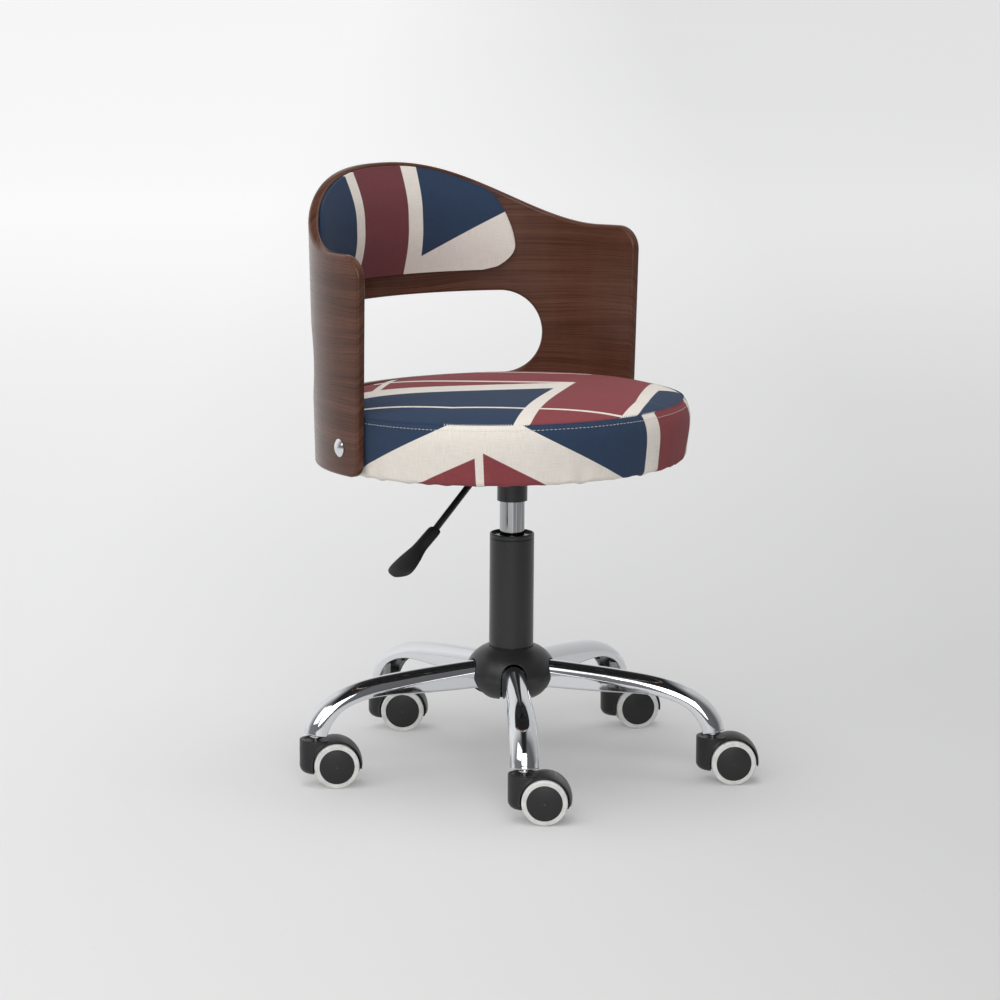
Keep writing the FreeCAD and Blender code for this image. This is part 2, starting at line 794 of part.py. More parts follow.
def make_valve_button():
    node(turned("valve_button", [
        ("0", "button_high - button_length"),
        ("button_radius", "button_high - button_length"),
        ("button_radius", "button_high - slip - slip"),
        ("button_radius - slip - slip", "button_high"),
        ("0", "button_high"),
    ]), "valve_button")


# Seat mechanism and lever

def make_taper_socket():
    node(turned("taper_socket", [
        ("cylinder_radius + slip", "neck_low"),
        ("socket_radius", "neck_low"),
        ("socket_radius", "socket_high"),
        ("cylinder_radius + slip - neck_taper * socket_height / neck_height", "socket_high"),
    ]), "taper_socket")


def make_mechanism_plate():
    """A pressed plate with a pan for the lever, and two ears for the lever's pin."""
    flange = block("plate_flange",
                   ("0 - plate_length / 2", "0 - plate_width / 2", "deck_rise - plate_thickness - slip"),
                   ("plate_length", "plate_width", "plate_thickness"))
    pan = block("plate_pan",
                ("0 - pan_length / 2", "0 - pan_width / 2", "pan_low"),
                ("pan_length", "pan_width", "pan_depth + plate_thickness / 2"))
    inside = block("plate_pan_inside",
                   ("pan_wall - pan_length / 2", "pan_wall - pan_width / 2",
                    "pan_low + pan_wall"),
                   ("pan_length - 2 * pan_wall", "pan_width - 2 * pan_wall", "pan_depth + overrun"))
    hole = rod("plate_socket_hole", "socket_radius + free_gap", "pan_depth",
               "0 - pan_depth")
    slot = block("plate_lever_slot",
                 ("0 - pan_length / 2 - overrun", "0 - pan_slot_width / 2",
                  "pan_low + pan_wall"),
                 ("pan_wall + 2 * overrun", "pan_slot_width", "pan_depth - pan_wall"))
    holes = []
    for along in ("plate_bolt_x", "0 - plate_bolt_x"):
        for aside in ("plate_bolt_y", "0 - plate_bolt_y"):
            bore = rod("plate_hole_%d" % (len(holes) + 1), "plate_bolt_radius + slip",
                       "plate_thickness + 2 * overrun", "deck_rise - plate_thickness - overrun")
            bore.setExpression("Placement.Base.x", sheeted(along))
            bore.setExpression("Placement.Base.y", sheeted(aside))
            holes.append(bore)
    sheet_metal = cut("plate_pressing", joined("plate_blank", [flange, pan]),
                      joined("plate_openings", [inside, hole, slot] + holes))
    ears = []
    for side, low in (("left", "lever_eye_length / 2 + free_gap"),
                      ("right", "0 - lever_eye_length / 2 - free_gap - ear_thickness")):
        ears.append(block("plate_%s_ear" % side,
                          ("0 - lever_pivot - ear_length / 2", low,
                           "pan_low + pan_wall / 2"),
                          ("ear_length", "ear_thickness", "ear_height")))
    bore = rod("plate_pin_hole", "lever_pin_radius + slip", "lever_eye_length + 6 * ear_thickness")
    bore.setExpression("Placement.Base.z", None)
    bore.Placement = Placement(
        Vector(-mm("lever_pivot"), -mm("lever_eye_length / 2 + 3 * ear_thickness"), mm("lever_bar_rise")),
        Rotation(Vector(1, 0, 0), -90))
    plate = cut("mechanism_plate", joined("plate_with_ears", [sheet_metal] + ears), bore)
    plate.Placement = seat_place()
    node(plate, "mechanism_plate")


def make_plate_bolts():
    """Four bolts up through the plate into the seat board."""
    bolts = []
    for along in (1, -1):
        for aside in (1, -1):
            bolt = turned("plate_bolt_%d" % (len(bolts) + 1), [
                ("0", "0 - plate_bolt_head_height"),
                ("plate_bolt_head", "0 - plate_bolt_head_height"),
                ("plate_bolt_head", "0"),
                ("plate_bolt_radius", "0"),
                ("plate_bolt_radius", "plate_bolt_length"),
                ("0", "plate_bolt_length"),
            ])
            foot = Vector(along * mm("plate_bolt_x"), aside * mm("plate_bolt_y"),
                          mm("deck_rise - plate_thickness - 2 * slip"))
            bolt.Placement = seat_place().multiply(Placement(foot, Rotation()))
            bolts.append(bolt)
    node(grouped("plate_bolts", bolts), "plate_bolts", len(bolts))


def make_lever_pin():
    pin = rod("lever_pin", "lever_pin_radius", "lever_eye_length + 4 * ear_thickness")
    pin.setExpression("Placement.Base.z", None)
    local = Placement(
        Vector(-mm("lever_pivot"), -mm("lever_eye_length / 2 + 2 * ear_thickness"), mm("lever_bar_rise")),
        Rotation(Vector(1, 0, 0), -90))
    pin.Placement = seat_place().multiply(local)
    node(pin, "lever_pin")


def make_lever_rod():
    """A bent round bar with an eye on the pin and a flat blade over the release button."""
    height = mm("lever_bar_rise")
    slope = math.radians(mm("lever_slope"))
    start = Vector(-mm("socket_radius") - mm("lever_rod_radius"), 0, height)
    corner = Vector(-mm("lever_bend"), 0, height)
    down = Vector(-math.cos(slope), 0, -math.sin(slope))
    radius = mm("lever_bend_radius")
    tangent = radius * math.tan(slope / 2)
    before = corner + Vector(tangent, 0, 0)
    after = corner + down * tangent
    half = slope / 2
    middle = Vector(before.x - radius * math.sin(half), 0, height - radius * (1 - math.cos(half)))
    end = corner + down * mm("lever_run")
    path = Part.Wire([Part.LineSegment(start, before).toShape(),
                      Part.Arc(before, middle, after).toShape(),
                      Part.LineSegment(after, end).toShape()])
    section = Part.Wire(Part.makeCircle(mm("lever_rod_radius"), start, Vector(-1, 0, 0)))
    bar = path.makePipeShell([section], True, False)
    eye = Part.makeCylinder(mm("lever_eye_radius"), mm("lever_eye_length"),
                            Vector(-mm("lever_pivot"), -mm("lever_eye_length / 2"), height),
                            Vector(0, 1, 0))
    blade_low = mm("button_high - socket_high + free_gap")
    blade_start = -mm("lever_pivot") - mm("lever_eye_radius") / 2
    blade = Part.makeBox(mm("blade_reach") - blade_start, mm("blade_width"), mm("blade_thickness"),
                         Vector(blade_start, -mm("blade_width") / 2, blade_low))
    hole = Part.makeCylinder(mm("lever_pin_radius + running"), mm("lever_eye_length + 2 * overrun"),
                             Vector(-mm("lever_pivot"), -mm("lever_eye_length / 2 + overrun"), height),
                             Vector(0, 1, 0))
    lever = bar.fuse([eye, blade]).cut(hole).removeSplitter()
    node(shaped("lever_rod", lever, seat_place()), "lever_rod")


# The grip's sections: how far along it they lie, and their width and depth, as shares.
grip_along_shares = (0.0, 0.06, 0.18, 0.4, 0.62, 0.82, 0.94, 1.0)
grip_width_shares = (0.42, 0.48, 0.5, 0.55, 0.85, 1.0, 0.86, 0.55)
grip_depth_shares = (0.85, 1.0, 1.0, 0.95, 0.86, 0.76, 0.62, 0.4)


def grip_frame():
    """Where the grip starts on the lever, with its own X along the grip."""
    start = Vector(-mm("grip_out"), 0, mm("lever_bar_rise - grip_drop"))
    return Placement(start, Rotation(Vector(0, 1, 0), 180 - mm("grip_slope")))


def make_lever_grip():
    """A moulded paddle pushed over the lever's end."""
    wires = []
    for along, wide, deep in zip(grip_along_shares, grip_width_shares, grip_depth_shares):
        half = wide * mm("grip_width") / 2
        thick = deep * mm("grip_depth") / 2
        x = along * mm("grip_length")
        curve = Part.Ellipse(Vector(x, half, 0), Vector(x, 0, thick), Vector(x, 0, 0))
        wires.append(Part.Wire(curve.toShape()))
    paddle = Part.makeLoft(wires, True, False)
    paddle.Placement = grip_frame()
    slope = math.radians(mm("lever_slope"))
    corner = Vector(-mm("lever_bend"), 0, mm("lever_bar_rise"))
    down = Vector(-math.cos(slope), 0, -math.sin(slope))
    hole = Part.makeCylinder(mm("lever_rod_radius + slip"), mm("lever_run + slip"), corner, down)
    node(shaped("lever_grip", paddle.cut(hole), seat_place()), "lever_grip")


# Seat

def radial_place(angle, height, radius):
    """A place on the round seat, its upright axis pointing outwards; angle 0 is the back."""
    turn = math.radians(angle)
    spot = Vector(radius * math.sin(turn), radius * math.cos(turn), height)
    outwards = Rotation(Vector(0, 0, 1), Vector(math.sin(turn), math.cos(turn), 0))
    return seat_round_place().multiply(Placement(spot, outwards))


def bolt_angles():
    side = mm("bolt_side_angle")
    back = mm("bolt_back_angle")
    return (-side, -back, back, side)


def bolt_holes(name, radius):
    """One long round cutter per shell bolt."""
    cutters = []
    for index, angle in enumerate(bolt_angles()):
        cutter = rod("%s_%d" % (name, index + 1), radius, "bolt_length + shell_thickness + overrun")
        cutter.setExpression("Placement.Base.z", None)
        cutter.Placement = radial_place(
            angle, mm("bolt_height"), mm("ring_radius - overrun"))
        cutters.append(cutter)
    return joined(name, cutters)


def make_seat_board():
    """The round plywood board that the mechanism is bolted to."""
    body = doc.addObject("PartDesign::Body", "seat_board_disc")
    sketch = body.newObject("Sketcher::SketchObject", "seat_board_outline")
    support = [item for item in body.Origin.OriginFeatures if item.Role == "XY_Plane"][0]
    sketch.AttachmentSupport = (support, [""])
    sketch.MapMode = "FlatFace"
    sketch.addGeometry(Part.Circle(Vector(), Vector(0, 0, 1), mm("board_radius")), False)
    sketch.addConstraint(Sketcher.Constraint("Coincident", 0, 3, -1, 1))
    rule = sketch.addConstraint(Sketcher.Constraint("Radius", 0, mm("board_radius")))
    sketch.setExpression("Constraints[%d]" % rule, sheeted("board_radius"))
    pad = body.newObject("PartDesign::Pad", "seat_board_pad")
    pad.Profile = sketch
    pad.setExpression("Length", sheeted("board_thickness"))
    holes = []
    for along in (1, -1):
        for aside in (1, -1):
            hole = rod("board_hole_%d" % (len(holes) + 1), "plate_bolt_radius + slip",
                       "plate_bolt_length", "0 - plate_thickness - slip")
            hole.setExpression("Placement.Base.x", sheeted("%d * plate_bolt_x" % along))
            hole.setExpression("Placement.Base.y",
                               sheeted("%d * plate_bolt_y - seat_back_shift" % aside))
            holes.append(hole)
    board = cut("seat_board", body, joined("board_holes", holes))
    board.Placement = seat_round_place().multiply(Placement(Vector(0, 0, mm("deck_rise")), Rotation()))
    node(board, "seat_board")


def make_rim_ring():
    """The timber ring on the board that the shell bolts screw into."""
    ring = turned("rim_ring_blank", [
        ("ring_radius", "board_high + slip"),
        ("board_radius", "board_high + slip"),
        ("board_radius", "ring_high"),
        ("ring_radius", "ring_high"),
    ])
    ring.Placement = seat_round_place()
    wells = []
    for index, angle in enumerate(bolt_angles()):
        barrel = rod("nut_barrel_hole_%d" % (index + 1), "tee_nut_radius + slip",
                     "ring_width + 2 * overrun")
        well = rod("nut_flange_well_%d" % (index + 1), "tee_flange_radius + slip",
                   "tee_flange + slip + overrun + overrun")
        for hole in (barrel, well):
            hole.setExpression("Placement.Base.z", None)
            hole.Placement = radial_place(angle, mm("bolt_height"), mm("ring_radius - overrun"))
        wells += [barrel, well]
    node(cut("rim_ring", ring, joined("rim_ring_holes", wells)), "rim_ring")


def make_shell_fasteners():
    """Domed bolts from outside the shell into flanged nuts in the ring."""
    pieces = []
    seat = cone_radius(mm("bolt_height")) + mm("shell_thickness")
    for index, angle in enumerate(bolt_angles()):
        bolt = turned("shell_bolt_%d" % (index + 1), [
            ("0", "0 - bolt_length"),
            ("bolt_radius", "0 - bolt_length"),
            ("bolt_radius", "0"),
            ("bolt_head_radius", "0"),
            ("bolt_head_radius", "2 * slip",
             cap_radius("bolt_head_radius", "bolt_head_height - 2 * slip")),
            ("0", "bolt_head_height"),
        ])
        bolt.Placement = radial_place(angle, mm("bolt_height"), seat + mm("free_gap"))
        nut = turned("tee_nut_%d" % (index + 1), [
            ("bolt_radius + slip", "0"),
            ("tee_flange_radius", "0"),
            ("tee_flange_radius", "tee_flange"),
            ("tee_nut_radius", "tee_flange"),
            ("tee_nut_radius", "tee_nut_length"),
            ("bolt_radius + slip", "tee_nut_length"),
        ])
        nut.Placement = radial_place(angle, mm("bolt_height"), mm("ring_radius + overrun - tee_flange"))
        pieces += [bolt, nut]
    node(grouped("shell_fasteners", pieces), "shell_fasteners", len(pieces))


def make_cushion():
    """The round seat pad: a crowned top, drawn-in sides and a pocket for board and ring."""
    pad = turned("cushion_pad", [
        ("0", "board_high + slip + slip"),
        ("ring_radius - free_gap", "board_high + slip + slip"),
        ("ring_radius - free_gap", "ring_high + free_gap"),
        ("board_radius + free_gap", "ring_high + free_gap"),
        ("board_radius + free_gap", "cushion_low"),
        ("cushion_foot_radius", "cushion_low", "cushion_band_arc"),
        ("cushion_seam_radius", "cushion_seam", "cushion_shoulder_radius"),
        ("cushion_seam_radius - cushion_shoulder_inset", "cushion_seam + cushion_shoulder_rise",
         cap_radius("cushion_seam_radius - cushion_shoulder_inset",
                    "cushion_crown - cushion_shoulder_rise")),
        ("0", "cushion_seam + cushion_crown"),
    ])
    pad.Placement = seat_round_place()
    holes = bolt_holes("cushion_bolt_holes", "bolt_radius + free_gap")
    wells = []
    for index, angle in enumerate(bolt_angles()):
        well = rod("cushion_nut_well_%d" % (index + 1), "tee_flange_radius + free_gap",
                   "2 * overrun")
        well.setExpression("Placement.Base.z", None)
        well.Placement = radial_place(angle, mm("bolt_height"), mm("ring_radius - overrun"))
        wells.append(well)
    node(cut("seat_cushion", pad, joined("cushion_openings", [holes] + wells)), "seat_cushion")


def make_dust_cover():
    """The thin cloth under the seat, cut out round the mechanism."""
    disc = rod("dust_cloth", "dust_cover_radius", "dust_cover_thickness",
               "deck_rise - dust_cover_thickness - free_gap")
    disc.setExpression("Placement.Base.y", sheeted("seat_back_shift"))
    window = block("dust_cloth_window",
                   ("0 - plate_length / 2 - free_gap", "0 - plate_width / 2 - free_gap", "0"),
                   ("plate_length + 2 * free_gap", "plate_width + 2 * free_gap", "deck_rise + overrun"))
    cover = cut("dust_cover", disc, window)
    cover.Placement = seat_place()
    node(cover, "dust_cover")


# Walnut shell and back pad, drawn on a cone whose angle runs round the seat

def seat_cone(radius):
    """The cone through the given radius at the height where the shell is measured."""
    cone = Part.Cone()
    cone.Radius = radius
    cone.SemiAngle = math.radians(mm("shell_flare"))
    cone.Center = Vector(0, 0, mm("shell_radius_height"))
    cone.Axis = Vector(0, 0, 1)
    return cone


def on_cone(angle, height):
    """A point of the cone's own flat map, from the angle off the back and the height."""
    slant = (height - mm("shell_radius_height")) / math.cos(math.radians(mm("shell_flare")))
    return FreeCAD.Base.Vector2d(math.pi / 2 - math.radians(angle), slant)


def cone_line(cone, first, last):
    return Part.Geom2d.Line2dSegment(on_cone(*first), on_cone(*last)).toShape(cone)


def cone_curve(cone, points):
    curve = Part.Geom2d.BSplineCurve2d()
    curve.interpolate([on_cone(*point) for point in points])
    return curve.toShape(cone)


def rounded(centre, spread, rise, first, last, steps=6):
    """Points on a quarter or half round, from one bearing to the other."""
    points = []
    for step in range(steps + 1):
        bearing = math.radians(first + (last - first) * step / steps)
        points.append((centre[0] + spread * math.cos(bearing), centre[1] + rise * math.sin(bearing)))
    return points


def rim_height(angle):
    """The shell's rim: level along the sides and swept up to the middle of the back."""
    share = min(1.0, abs(angle) / mm("rim_span")) ** mm("rim_power")
    return mm("shell_side_height") + mm("shell_rim_rise") * math.cos(math.pi / 2 * share) ** 2


def shell_outline(cone):
    """The shell's edge all round."""
    low = mm("shell_low")
    side = mm("shell_side_height")
    low_edge = mm("shell_edge_angle_low")
    high_edge = mm("shell_edge_angle_high")
    radius = mm("shell_inner_radius")
    low_round = mm("shell_corner_low")
    high_round = mm("shell_corner_high")
    low_spread = math.degrees(low_round / radius)
    high_spread = math.degrees(high_round / radius)
    edges = []
    for hand in (1, -1):
        foot = rounded((low_edge - low_spread, low + low_round), low_spread, low_round, -90, 0)
        head = rounded((high_edge - high_spread, side - high_round), high_spread, high_round, 0, 90)
        foot = [(hand * angle, height) for angle, height in foot]
        head = [(hand * angle, height) for angle, height in head]
        edges.append(cone_curve(cone, foot))
        edges.append(cone_line(cone, foot[-1], head[0]))
        edges.append(cone_curve(cone, head))
        edges.append(cone_line(cone, head[-1], (hand * mm("rim_span"), side)))
    edges.append(cone_line(cone, (-(low_edge - low_spread), low), (low_edge - low_spread, low)))
    stations = 24
    span = mm("rim_span")
    rim = [(-span + 2 * span * step / stations) for step in range(stations + 1)]
    edges.append(cone_curve(cone, [(angle, rim_height(angle)) for angle in rim]))
    return Part.Wire(Part.__sortEdges__(edges))


def window_outline(cone):
    """The long window behind the seat, with round ends."""
    low = mm("window_low")
    high = mm("window_high")
    half = (high - low) / 2
    spread = math.degrees(half / mm("shell_inner_radius"))
    centre = mm("window_half_angle") - spread
    right = rounded((centre, low + half), spread, half, -90, 90, 12)
    left = [(-angle, height) for angle, height in right]
    return Part.Wire(Part.__sortEdges__([
        cone_curve(cone, right), cone_curve(cone, left),
        cone_line(cone, left[0], right[0]), cone_line(cone, left[-1], right[-1])]))


def make_shell():
    """One bent walnut sheet, cut out behind the seat."""
    cone = seat_cone(mm("shell_inner_radius"))
    face = Part.Face(cone, shell_outline(cone))
    face.cutHoles([window_outline(cone)])
    face.validate()
    sheet_of_wood = face.makeOffsetShape(mm("shell_thickness"), mm("surface_tolerance"), fill=True)
    blank = shaped("shell_blank", sheet_of_wood, seat_round_place())
    holes = bolt_holes("shell_bolt_holes", "bolt_radius + slip")
    screws = []
    for index, (angle, height) in enumerate(pad_screw_spots()):
        hole = rod("shell_screw_hole_%d" % (index + 1), "pad_screw_radius + slip",
                   "shell_thickness + 2 * overrun")
        hole.setExpression("Placement.Base.z", None)
        hole.Placement = radial_place(angle, height, mm("shell_inner_radius - overrun"))
        screws.append(hole)
    node(cut("walnut_shell", blank, joined("shell_holes", [holes] + screws)), "walnut_shell")


def pad_top(angle):
    """The pad's upper edge keeps its distance below the shell's rim."""
    return rim_height(angle) - mm("pad_rim_gap")


def pad_share(angle):
    """From 0 in the pad's middle to 1 at its ends."""
    return abs(angle) / mm("pad_half_angle")


# Where along the pad its edges begin to draw together, and how its section is shaped:
# the front corner's place across the depth, the corner arc's middle, and the thinner end.
pad_round_share = 0.78
pad_corner_share = 0.6
pad_arc_up_share = 0.2
pad_arc_in_share = 0.72
pad_end_depth_share = 0.6
pad_corner_height_share = 0.25
pad_station_shares = (-1.0, -0.97, -0.93, -0.86, -0.75, -0.6, -0.4, -0.2, 0.0)


def pad_edges(angle):
    """The pad's lower and upper edge at one angle; both draw together at the round ends."""
    share = pad_share(angle)
    close = max(0.0, (share - pad_round_share) / (1 - pad_round_share))
    low = mm("pad_low") + (mm("pad_end_low") - mm("pad_low")) * close ** 2
    top = pad_top(angle) + (mm("pad_end_high") - pad_top(mm("pad_half_angle"))) * close ** 3
    return low, top


def cone_radius(height):
    return mm("shell_inner_radius") + (height - mm("shell_radius_height")) * math.tan(
        math.radians(mm("shell_flare")))


def pad_section(angle):
    """One upright section: a flat back and a crowned front in three arcs."""
    low, top = pad_edges(angle)
    share = pad_share(angle)
    gap = mm("free_gap")
    depth = mm("pad_middle_depth") + (mm("pad_edge_depth") - mm("pad_middle_depth")) * share ** 2
    edge = mm("pad_edge_depth") * (1 - (1 - pad_end_depth_share) * share ** 2)
    corner = min(depth, (top - low) * pad_corner_height_share)
    front = edge + (depth - edge) * pad_corner_share
    turn = math.radians(angle)

    def spot(height, inwards):
        radius = cone_radius(height) - gap - inwards
        return Vector(radius * math.sin(turn), radius * math.cos(turn), height)
    foot = spot(low, 0)
    head = spot(top, 0)
    low_front = spot(low + corner, front)
    top_front = spot(top - corner, front)
    low_arc = spot(low + corner * pad_arc_up_share, edge * pad_arc_in_share)
    top_arc = spot(top - corner * pad_arc_up_share, edge * pad_arc_in_share)
    return Part.Wire([
        Part.LineSegment(head, foot).toShape(),
        Part.Arc(foot, low_arc, low_front).toShape(),
        Part.Arc(low_front, spot((low + top) / 2, depth), top_front).toShape(),
        Part.Arc(top_front, top_arc, head).toShape()])


def board_outline(cone, inset):
    """The pad board's edge: the pad's own edge drawn in all round."""
    reach = mm("pad_half_angle") - math.degrees(inset / mm("shell_inner_radius"))
    stations = 16
    angles = [-reach + 2 * reach * step / stations for step in range(stations + 1)]
    lower = [(angle, pad_edges(angle)[0] + inset) for angle in angles]
    upper = [(angle, pad_edges(angle)[1] - inset) for angle in angles]
    return Part.Wire(Part.__sortEdges__([
        cone_curve(cone, lower), cone_curve(cone, upper),
        cone_line(cone, lower[0], upper[0]), cone_line(cone, lower[-1], upper[-1])]))


def curved_board(inset, back, front):
    """A curved board between two distances in from the shell's inner face."""
    cone = seat_cone(mm("shell_inner_radius") - front)
    face = Part.Face(cone, board_outline(cone, inset))
    face.validate()
    return face.makeOffsetShape(front - back, mm("surface_tolerance"), fill=True)


def pad_screw_spots():
    """Where the screws through the shell meet the pad board."""
    side = mm("pad_screw_angle")
    return [(-side, mm("pad_screw_low")), (side, mm("pad_screw_low")),
            (-side / 2, mm("pad_screw_high")), (side / 2, mm("pad_screw_high"))]


def make_back_pad():
    """The padded back: covered foam round a thin bent board, screwed on from behind."""
    half = mm("pad_half_angle")
    angles = [share * half for share in pad_station_shares]
    angles += [-angle for angle in reversed(angles[:-1])]
    foam = Part.makeLoft([pad_section(angle) for angle in angles], True, False)
    gap = mm("free_gap")
    thickness = mm("pad_board")
    inset = mm("pad_board_inset")
    pocket = curved_board(inset - gap, -gap, gap + thickness + gap)
    node(shaped("back_pad", foam.cut(pocket), seat_round_place()), "back_pad")
    blank = shaped("pad_board_blank", curved_board(inset, gap, gap + thickness), seat_round_place())
    holes = []
    for index, (angle, height) in enumerate(pad_screw_spots()):
        hole = rod("board_screw_hole_%d" % (index + 1), "pad_screw_radius + slip",
                   "pad_board + 2 * overrun")
        hole.setExpression("Placement.Base.z", None)
        hole.Placement = radial_place(angle, height, mm("shell_inner_radius - pad_board - overrun"))
        holes.append(hole)
    node(cut("pad_board", blank, joined("board_screw_holes", holes)), "pad_board")


def make_pad_screws():
    """Four dome-headed screws from behind the shell into the pad board."""
    screws = []
    for index, (angle, height) in enumerate(pad_screw_spots()):
        screw = turned("pad_screw_%d" % (index + 1), [
            ("0", "0 - pad_screw_length"),
            ("pad_screw_radius", "0 - pad_screw_length"),
            ("pad_screw_radius", "0"),
            ("pad_screw_head", "0"),
            ("pad_screw_head", "slip",
             cap_radius("pad_screw_head", "pad_screw_head_height - slip")),
            ("0", "pad_screw_head_height"),
        ])
        seat = cone_radius(height) + mm("shell_thickness")
        screw.Placement = radial_place(angle, height, seat + mm("slip"))
        screws.append(screw)
    node(grouped("pad_screws", screws), "pad_screws", len(screws))


for caster in range(1, int(mm("arm_count")) + 1):
    make_caster_hood(caster)
    make_caster_pins(caster)
    make_caster_wheel(caster, 1)
    make_caster_wheel(caster, -1)
arm_hollow = make_arms()
make_stem_sockets(arm_hollow)
make_hub_sleeve()
make_hub_cover()
make_outer_tube()
make_guide_bushing()
make_thrust_bearing()
make_piston_rod()
make_rod_clip()
make_gas_cylinder()
make_valve_button()
make_taper_socket()
make_mechanism_plate()
make_plate_bolts()
make_lever_pin()
make_lever_rod()
make_lever_grip()
make_seat_board()
make_rim_ring()
make_shell_fasteners()
make_cushion()
make_dust_cover()
make_shell()
make_back_pad()
make_pad_screws()
doc.recompute()

for item in doc.Objects:
    if "Invalid" in item.State or "Error" in item.State:
        raise RuntimeError("%s failed: %s" % (item.Name, item.State))
for piece, solids in nodes:
    shape = piece.Shape
    if shape.isNull() or not shape.isValid():
        raise RuntimeError("%s is not a valid shape" % piece.Label)
    if len(shape.Solids) != solids:
        raise RuntimeError("%s has %d solids, not %d" % (piece.Label, len(shape.Solids), solids))

os.makedirs("parts", exist_ok=True)
for piece, solids in nodes:
    piece.Shape.exportStep("parts/%s.step" % piece.Label)
print("%d pieces written" % len(nodes))
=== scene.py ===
import json
import math
import bpy
import bmesh
import numpy as np
from mathutils import Matrix, Vector


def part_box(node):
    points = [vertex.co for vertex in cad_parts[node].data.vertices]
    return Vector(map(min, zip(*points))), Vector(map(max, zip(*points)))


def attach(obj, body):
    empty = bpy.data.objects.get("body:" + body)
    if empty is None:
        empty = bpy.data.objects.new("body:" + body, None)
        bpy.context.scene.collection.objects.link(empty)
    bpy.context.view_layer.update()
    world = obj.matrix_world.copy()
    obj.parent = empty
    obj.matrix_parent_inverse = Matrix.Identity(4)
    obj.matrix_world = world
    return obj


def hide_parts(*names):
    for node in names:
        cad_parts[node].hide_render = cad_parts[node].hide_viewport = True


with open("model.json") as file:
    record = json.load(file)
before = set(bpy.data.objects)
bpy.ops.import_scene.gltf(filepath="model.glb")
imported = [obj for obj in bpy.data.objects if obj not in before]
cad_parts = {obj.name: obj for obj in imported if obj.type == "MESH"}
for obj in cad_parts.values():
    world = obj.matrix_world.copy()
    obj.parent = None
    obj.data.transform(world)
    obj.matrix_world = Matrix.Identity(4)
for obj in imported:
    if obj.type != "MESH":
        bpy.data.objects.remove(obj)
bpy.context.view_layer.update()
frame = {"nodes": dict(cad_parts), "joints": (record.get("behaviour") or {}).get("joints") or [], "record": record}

# Office chair: a printed round seat in a bent walnut shell, on a chromed five-arm base.
# Lengths in the dictionaries are millimetres and angles are degrees; meshes are in metres.

metre = 0.001
kit = bpy.context.scene.collection


def cadCorners(node):
    # A node's lowest and highest corner in millimetres.
    low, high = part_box(node)
    return np.array(low) / metre, np.array(high) / metre


def places(*parts):
    # Coordinates, spread to one shape, as places along a last axis.
    return np.stack(np.broadcast_arrays(*parts), axis=-1)


def between(first, last, share):
    # The value at a share of the way from the first to the last.
    return first + (last - first) * share


seatFrame = {
    "pivotHeight": cadCorners("taper_socket")[1][2],   # the taper socket's top
    "tiltBack": 1.75,
    "backShift": 8.5,                                  # the round seat's middle, behind the column
}


def seatToWorld(points, backShift=seatFrame["backShift"]):
    # Places in the level seat frame, tipped back about X and lifted onto the column.
    tilt = math.radians(seatFrame["tiltBack"])
    x, y, z = points[..., 0], points[..., 1] + backShift, points[..., 2]
    back = y * math.cos(tilt) + z * math.sin(tilt)
    up = z * math.cos(tilt) - y * math.sin(tilt) + seatFrame["pivotHeight"]
    return places(x, back, up)


def smoothLine(points, count):
    # A Catmull-Rom curve through the points, read at evenly spread shares.
    ends = np.vstack([2 * points[0] - points[1], points, 2 * points[-1] - points[-2]])
    share = np.linspace(0, len(points) - 1, count)
    span = np.minimum(share.astype(int), len(points) - 2)
    t = (share - span)[:, None]
    a, b, c, d = ends[span], ends[span + 1], ends[span + 2], ends[span + 3]
    return 0.5 * (2 * b + (c - a) * t + (2 * a - 5 * b + 4 * c - d) * t ** 2
                  + (3 * b - a - 3 * c + d) * t ** 3)


def finished(name, mesh, body, nodes, slot, *materials):
    # A finished mesh becomes a piece that rides on its body and stands for its nodes.
    for material in materials:
        mesh.materials.append(material)
    piece = bpy.data.objects.new(name, mesh)
    kit.objects.link(piece)
    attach(piece, body)
    if nodes:
        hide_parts(*nodes)
    return piece


def quadMesh(name, points, quads, cloth=None, inks=None, nearness=1e-6):
    # A smooth mesh from points in millimetres and faces of four. cloth gives each face's corners
    # their places on the flat cloth, and inks each face's material.
    mesh = bpy.data.meshes.new(name)
    mesh.from_pydata((points * metre).tolist(), [], quads.tolist())
    if inks is not None:
        mesh.polygons.foreach_set("material_index", inks.astype(np.int32))
    if cloth is not None:
        layer = mesh.uv_layers.new(name="cloth")
        layer.uv.foreach_set("vector", (cloth * metre).astype(np.float32).ravel())
    weldClose(mesh, nearness)
    return mesh


def gridMesh(name, points, loopRows=False, loopColumns=False, cloth=None, topRow=None, topCloth=None):
    # A closed mesh from rows and columns of points: each face joins four neighbours, and points
    # that fall together, as at a pole, are welded. cloth gives each point's place on the flat
    # cloth, and may have a column more where the grid closes. From topRow on, faces take the
    # second material and topCloth.
    rows, columns = points.shape[:2]
    i, j = np.meshgrid(np.arange(rows if loopRows else rows - 1),
                       np.arange(columns if loopColumns else columns - 1), indexing="ij")
    i, j = i.ravel(), j.ravel()
    corners = [(i, j), (i, j + 1), (i + 1, j + 1), (i + 1, j)]
    quads = np.stack([(a % rows) * columns + b % columns for a, b in corners], axis=1)
    flat, inks = None, None
    if cloth is not None:
        long, wide = cloth.shape[:2]
        flat = np.stack([cloth[a % long, b % wide] for a, b in corners], axis=1)
    if topRow is not None:
        inks = i >= topRow
        flat[inks] = np.stack([topCloth[a, b] for a, b in corners], axis=1)[inks]
    return quadMesh(name, points.reshape(-1, 3), quads, flat, inks)


